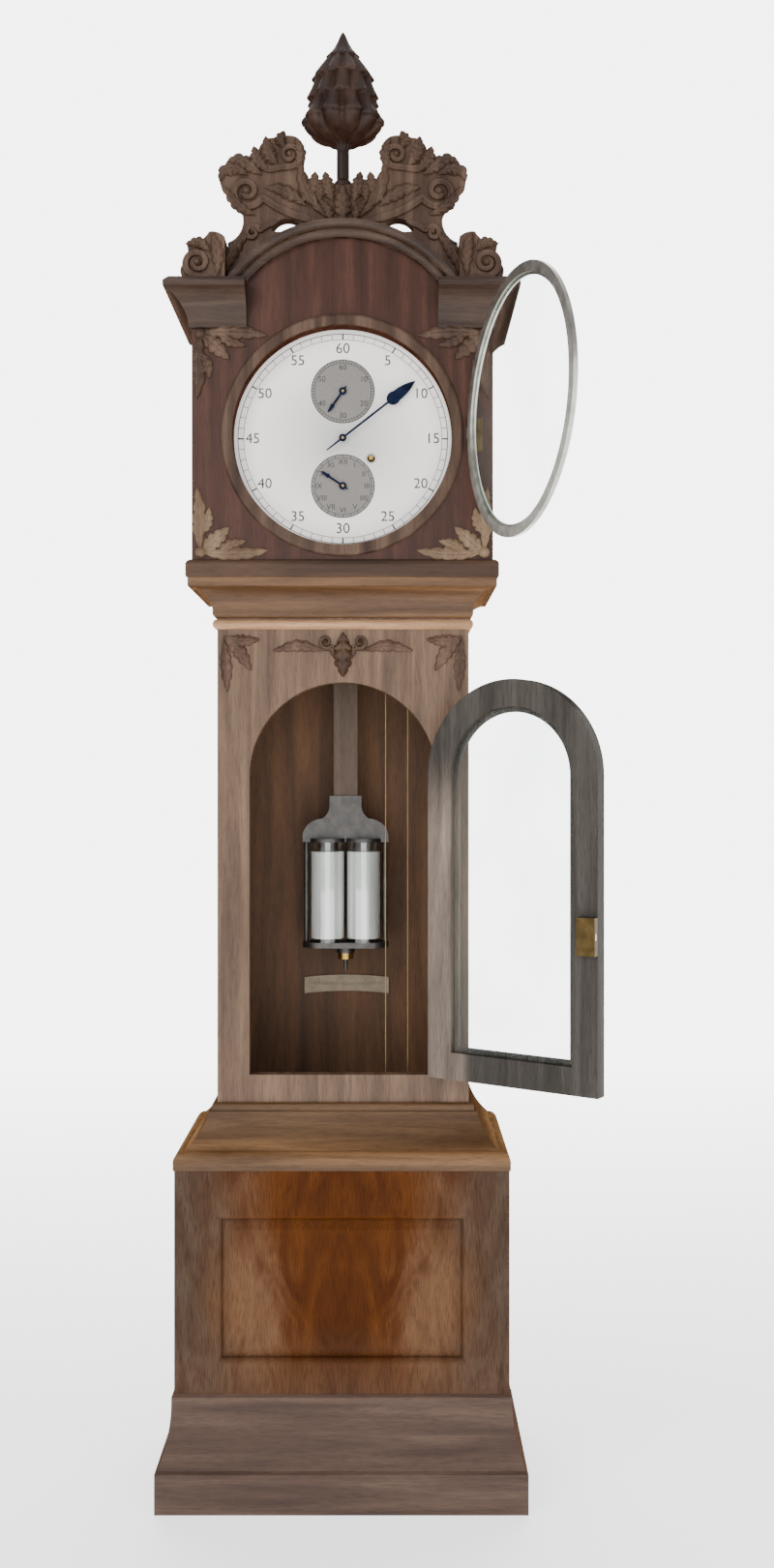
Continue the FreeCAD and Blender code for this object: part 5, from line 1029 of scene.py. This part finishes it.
class CLOCK_OT_line(Operator):
    """Gut line: two straight strands that shorten as the weight is wound up, and the turn under the pulley"""

    bl_idname = "clock.line"
    bl_label = "Lay the gut line"

    def execute(self, context):
        # The line's radius and the weight's travel, in millimetres
        radius = 0.8
        low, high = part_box("weight_line")
        y = (low[1] + high[1]) / 2 / MM
        left = low[0] / MM + radius
        right = high[0] / MM - radius
        pulley_z = middle_of("pulley")[2]
        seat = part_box("seat_board")[0][2] / MM
        loop = Shell()
        turn = np.linspace(math.pi, 2 * math.pi, 40)
        middle = (left + right) / 2
        bend = (right - left) / 2
        path = np.stack([middle + bend * np.cos(turn), np.full_like(turn, y), pulley_z + bend * np.sin(turn)],
                        axis=-1)
        out = np.stack([np.cos(turn), np.zeros_like(turn), np.sin(turn)], axis=-1)
        loop.add_closed(cord(path, out, radius))
        loop = loop.build("line_turn", "driving_weight", "gut")
        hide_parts("weight_line")
        for name, x, top in (("line_to_barrel", left, high[2] / MM), ("line_to_seat", right, seat)):
            heights = np.linspace(pulley_z, top, 160)
            path = np.stack([np.full_like(heights, x), np.full_like(heights, y), heights], axis=-1)
            out = np.repeat(np.array([[1.0, 0.0, 0.0]]), len(heights), axis=0)
            shell = Shell()
            shell.add_closed(cord(path, out, radius))
            strand = shell.build(name, "case", "gut")
            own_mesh(strand)
        return {"FINISHED"}


# Stage, in metres. Floor: a disc of rings that widen outward. Lights: name, place, target, size, and power in
# watts
FLOOR_RADIUS = 12.96
FLOOR_RINGS = 19
FLOOR_SPOKES = 48
LIGHTS = (
    ("key_light", (-1.9, -2.6, 2.7), (0.0, 0.0, 1.2), 1.6, 62.0),
    ("fill_light", (2.4, -2.4, 1.8), (0.0, 0.0, 1.1), 1.8, 29.0),
    ("top_light", (0.0, -0.6, 3.9), (0.0, 0.0, 1.0), 2.4, 18.0),
    ("front_light", (0.1, -3.4, 1.5), (0.0, 0.0, 1.1), 2.2, 31.0),
)


class CLOCK_OT_stage(Operator):
    """Pale studio floor, white behind the clock, soft lights and the camera at the photo's place"""

    bl_idname = "clock.stage"
    bl_label = "Set the stage"

    def execute(self, context):
        settings = context.scene.clock_stage
        reach = np.linspace(0.0, math.sqrt(FLOOR_RADIUS), FLOOR_RINGS) ** 2
        turn = circle(FLOOR_SPOKES)
        points = np.stack([np.outer(reach, np.cos(turn)), np.outer(reach, np.sin(turn)),
                           np.zeros((FLOOR_RINGS, FLOOR_SPOKES))], axis=-1)
        rings = np.arange(FLOOR_RINGS * FLOOR_SPOKES).reshape(FLOOR_RINGS, FLOOR_SPOKES)
        onward = np.roll(rings, -1, axis=1)
        quads = np.stack([rings[1:-1], rings[2:], onward[2:], onward[1:-1]], axis=-1).reshape(-1, 4)
        mesh = bpy.data.meshes.new("studio_floor")
        mesh.from_pydata(points.reshape(-1, 3).tolist(), [], quads.tolist() + [rings[1].tolist()])
        mesh.materials.append(MATERIALS["floor"])
        staged = [placed("studio_floor", mesh)]
        for name, place, target, size, power in LIGHTS:
            data = bpy.data.lights.new(name, "AREA")
            data.energy = power
            data.size = size
            light = placed(name, data)
            point_at(light, place, target)
            staged.append(light)
        world = bpy.data.worlds.new("studio_white")
        world.use_nodes = True
        sky = world.node_tree
        background = sky.nodes["Background"].inputs
        background["Color"].default_value = (0.95, 0.95, 0.95, 1.0)
        coords = add(sky, "ShaderNodeTexCoord")
        toward = add(sky, "ShaderNodeSeparateXYZ", {"Vector": coords.outputs["Generated"]})
        white = add(sky, "ShaderNodeMapRange", {"Value": toward.outputs["Y"], "From Min": 0.35,
                                                "From Max": 0.8, "To Min": 0.5, "To Max": 6.0},
                    interpolation_type="SMOOTHSTEP")
        sky.links.new(white.outputs["Result"], background["Strength"])
        context.scene.world = world
        data = bpy.data.cameras.new("photo_camera")
        data.sensor_fit = "VERTICAL"
        data.sensor_height = 36.0
        data.lens = settings.lens
        camera = placed("photo_camera", data)
        place = (settings.aside, -settings.distance, settings.height)
        point_at(camera, place, (place[0], 0.0, place[2]))
        context.scene.camera = camera
        staged.append(camera)
        return {"FINISHED"}


class CLOCK_PT_panel(Panel):
    """The clock's settings and steps"""

    bl_label = "Clock"
    bl_idname = "CLOCK_PT_panel"
    bl_space_type = "VIEW_3D"
    bl_region_type = "UI"
    bl_category = "Clock"

    def draw(self, context):
        scene = context.scene
        for group, names in ((scene.clock_carving, ("relief", "lobes", "bud_leaves")),
                             (scene.clock_dial, ("numeral", "small_numeral", "ring")),
                             (scene.clock_stage, ("distance", "height", "aside", "lens"))):
            for name in names:
                self.layout.prop(group, name)
        for operator in OPERATORS:
            self.layout.operator(operator.bl_idname)


OPERATORS = (CLOCK_OT_finish, CLOCK_OT_finial, CLOCK_OT_crest, CLOCK_OT_shoulders, CLOCK_OT_trunk_ornament,
             CLOCK_OT_dial, CLOCK_OT_line, CLOCK_OT_stage)
GROUPS = (("clock_carving", ClockCarving), ("clock_dial", ClockDial), ("clock_stage", ClockStage))


def register():
    """Adds the settings, the steps and the panel."""
    for name, group in GROUPS:
        bpy.utils.register_class(group)
        setattr(bpy.types.Scene, name, PointerProperty(type=group))
    for made in OPERATORS + (CLOCK_PT_panel,):
        bpy.utils.register_class(made)


def unregister():
    """Takes the panel, the steps and the settings away."""
    for made in reversed(OPERATORS + (CLOCK_PT_panel,)):
        bpy.utils.unregister_class(made)
    for name, group in GROUPS:
        delattr(bpy.types.Scene, name)
        bpy.utils.unregister_class(group)


def main():
    """Runs every step in order."""
    register()
    for step in OPERATORS:
        family, action = step.bl_idname.split(".")
        getattr(getattr(bpy.ops, family), action)()


if __name__ == "__main__":
    main()
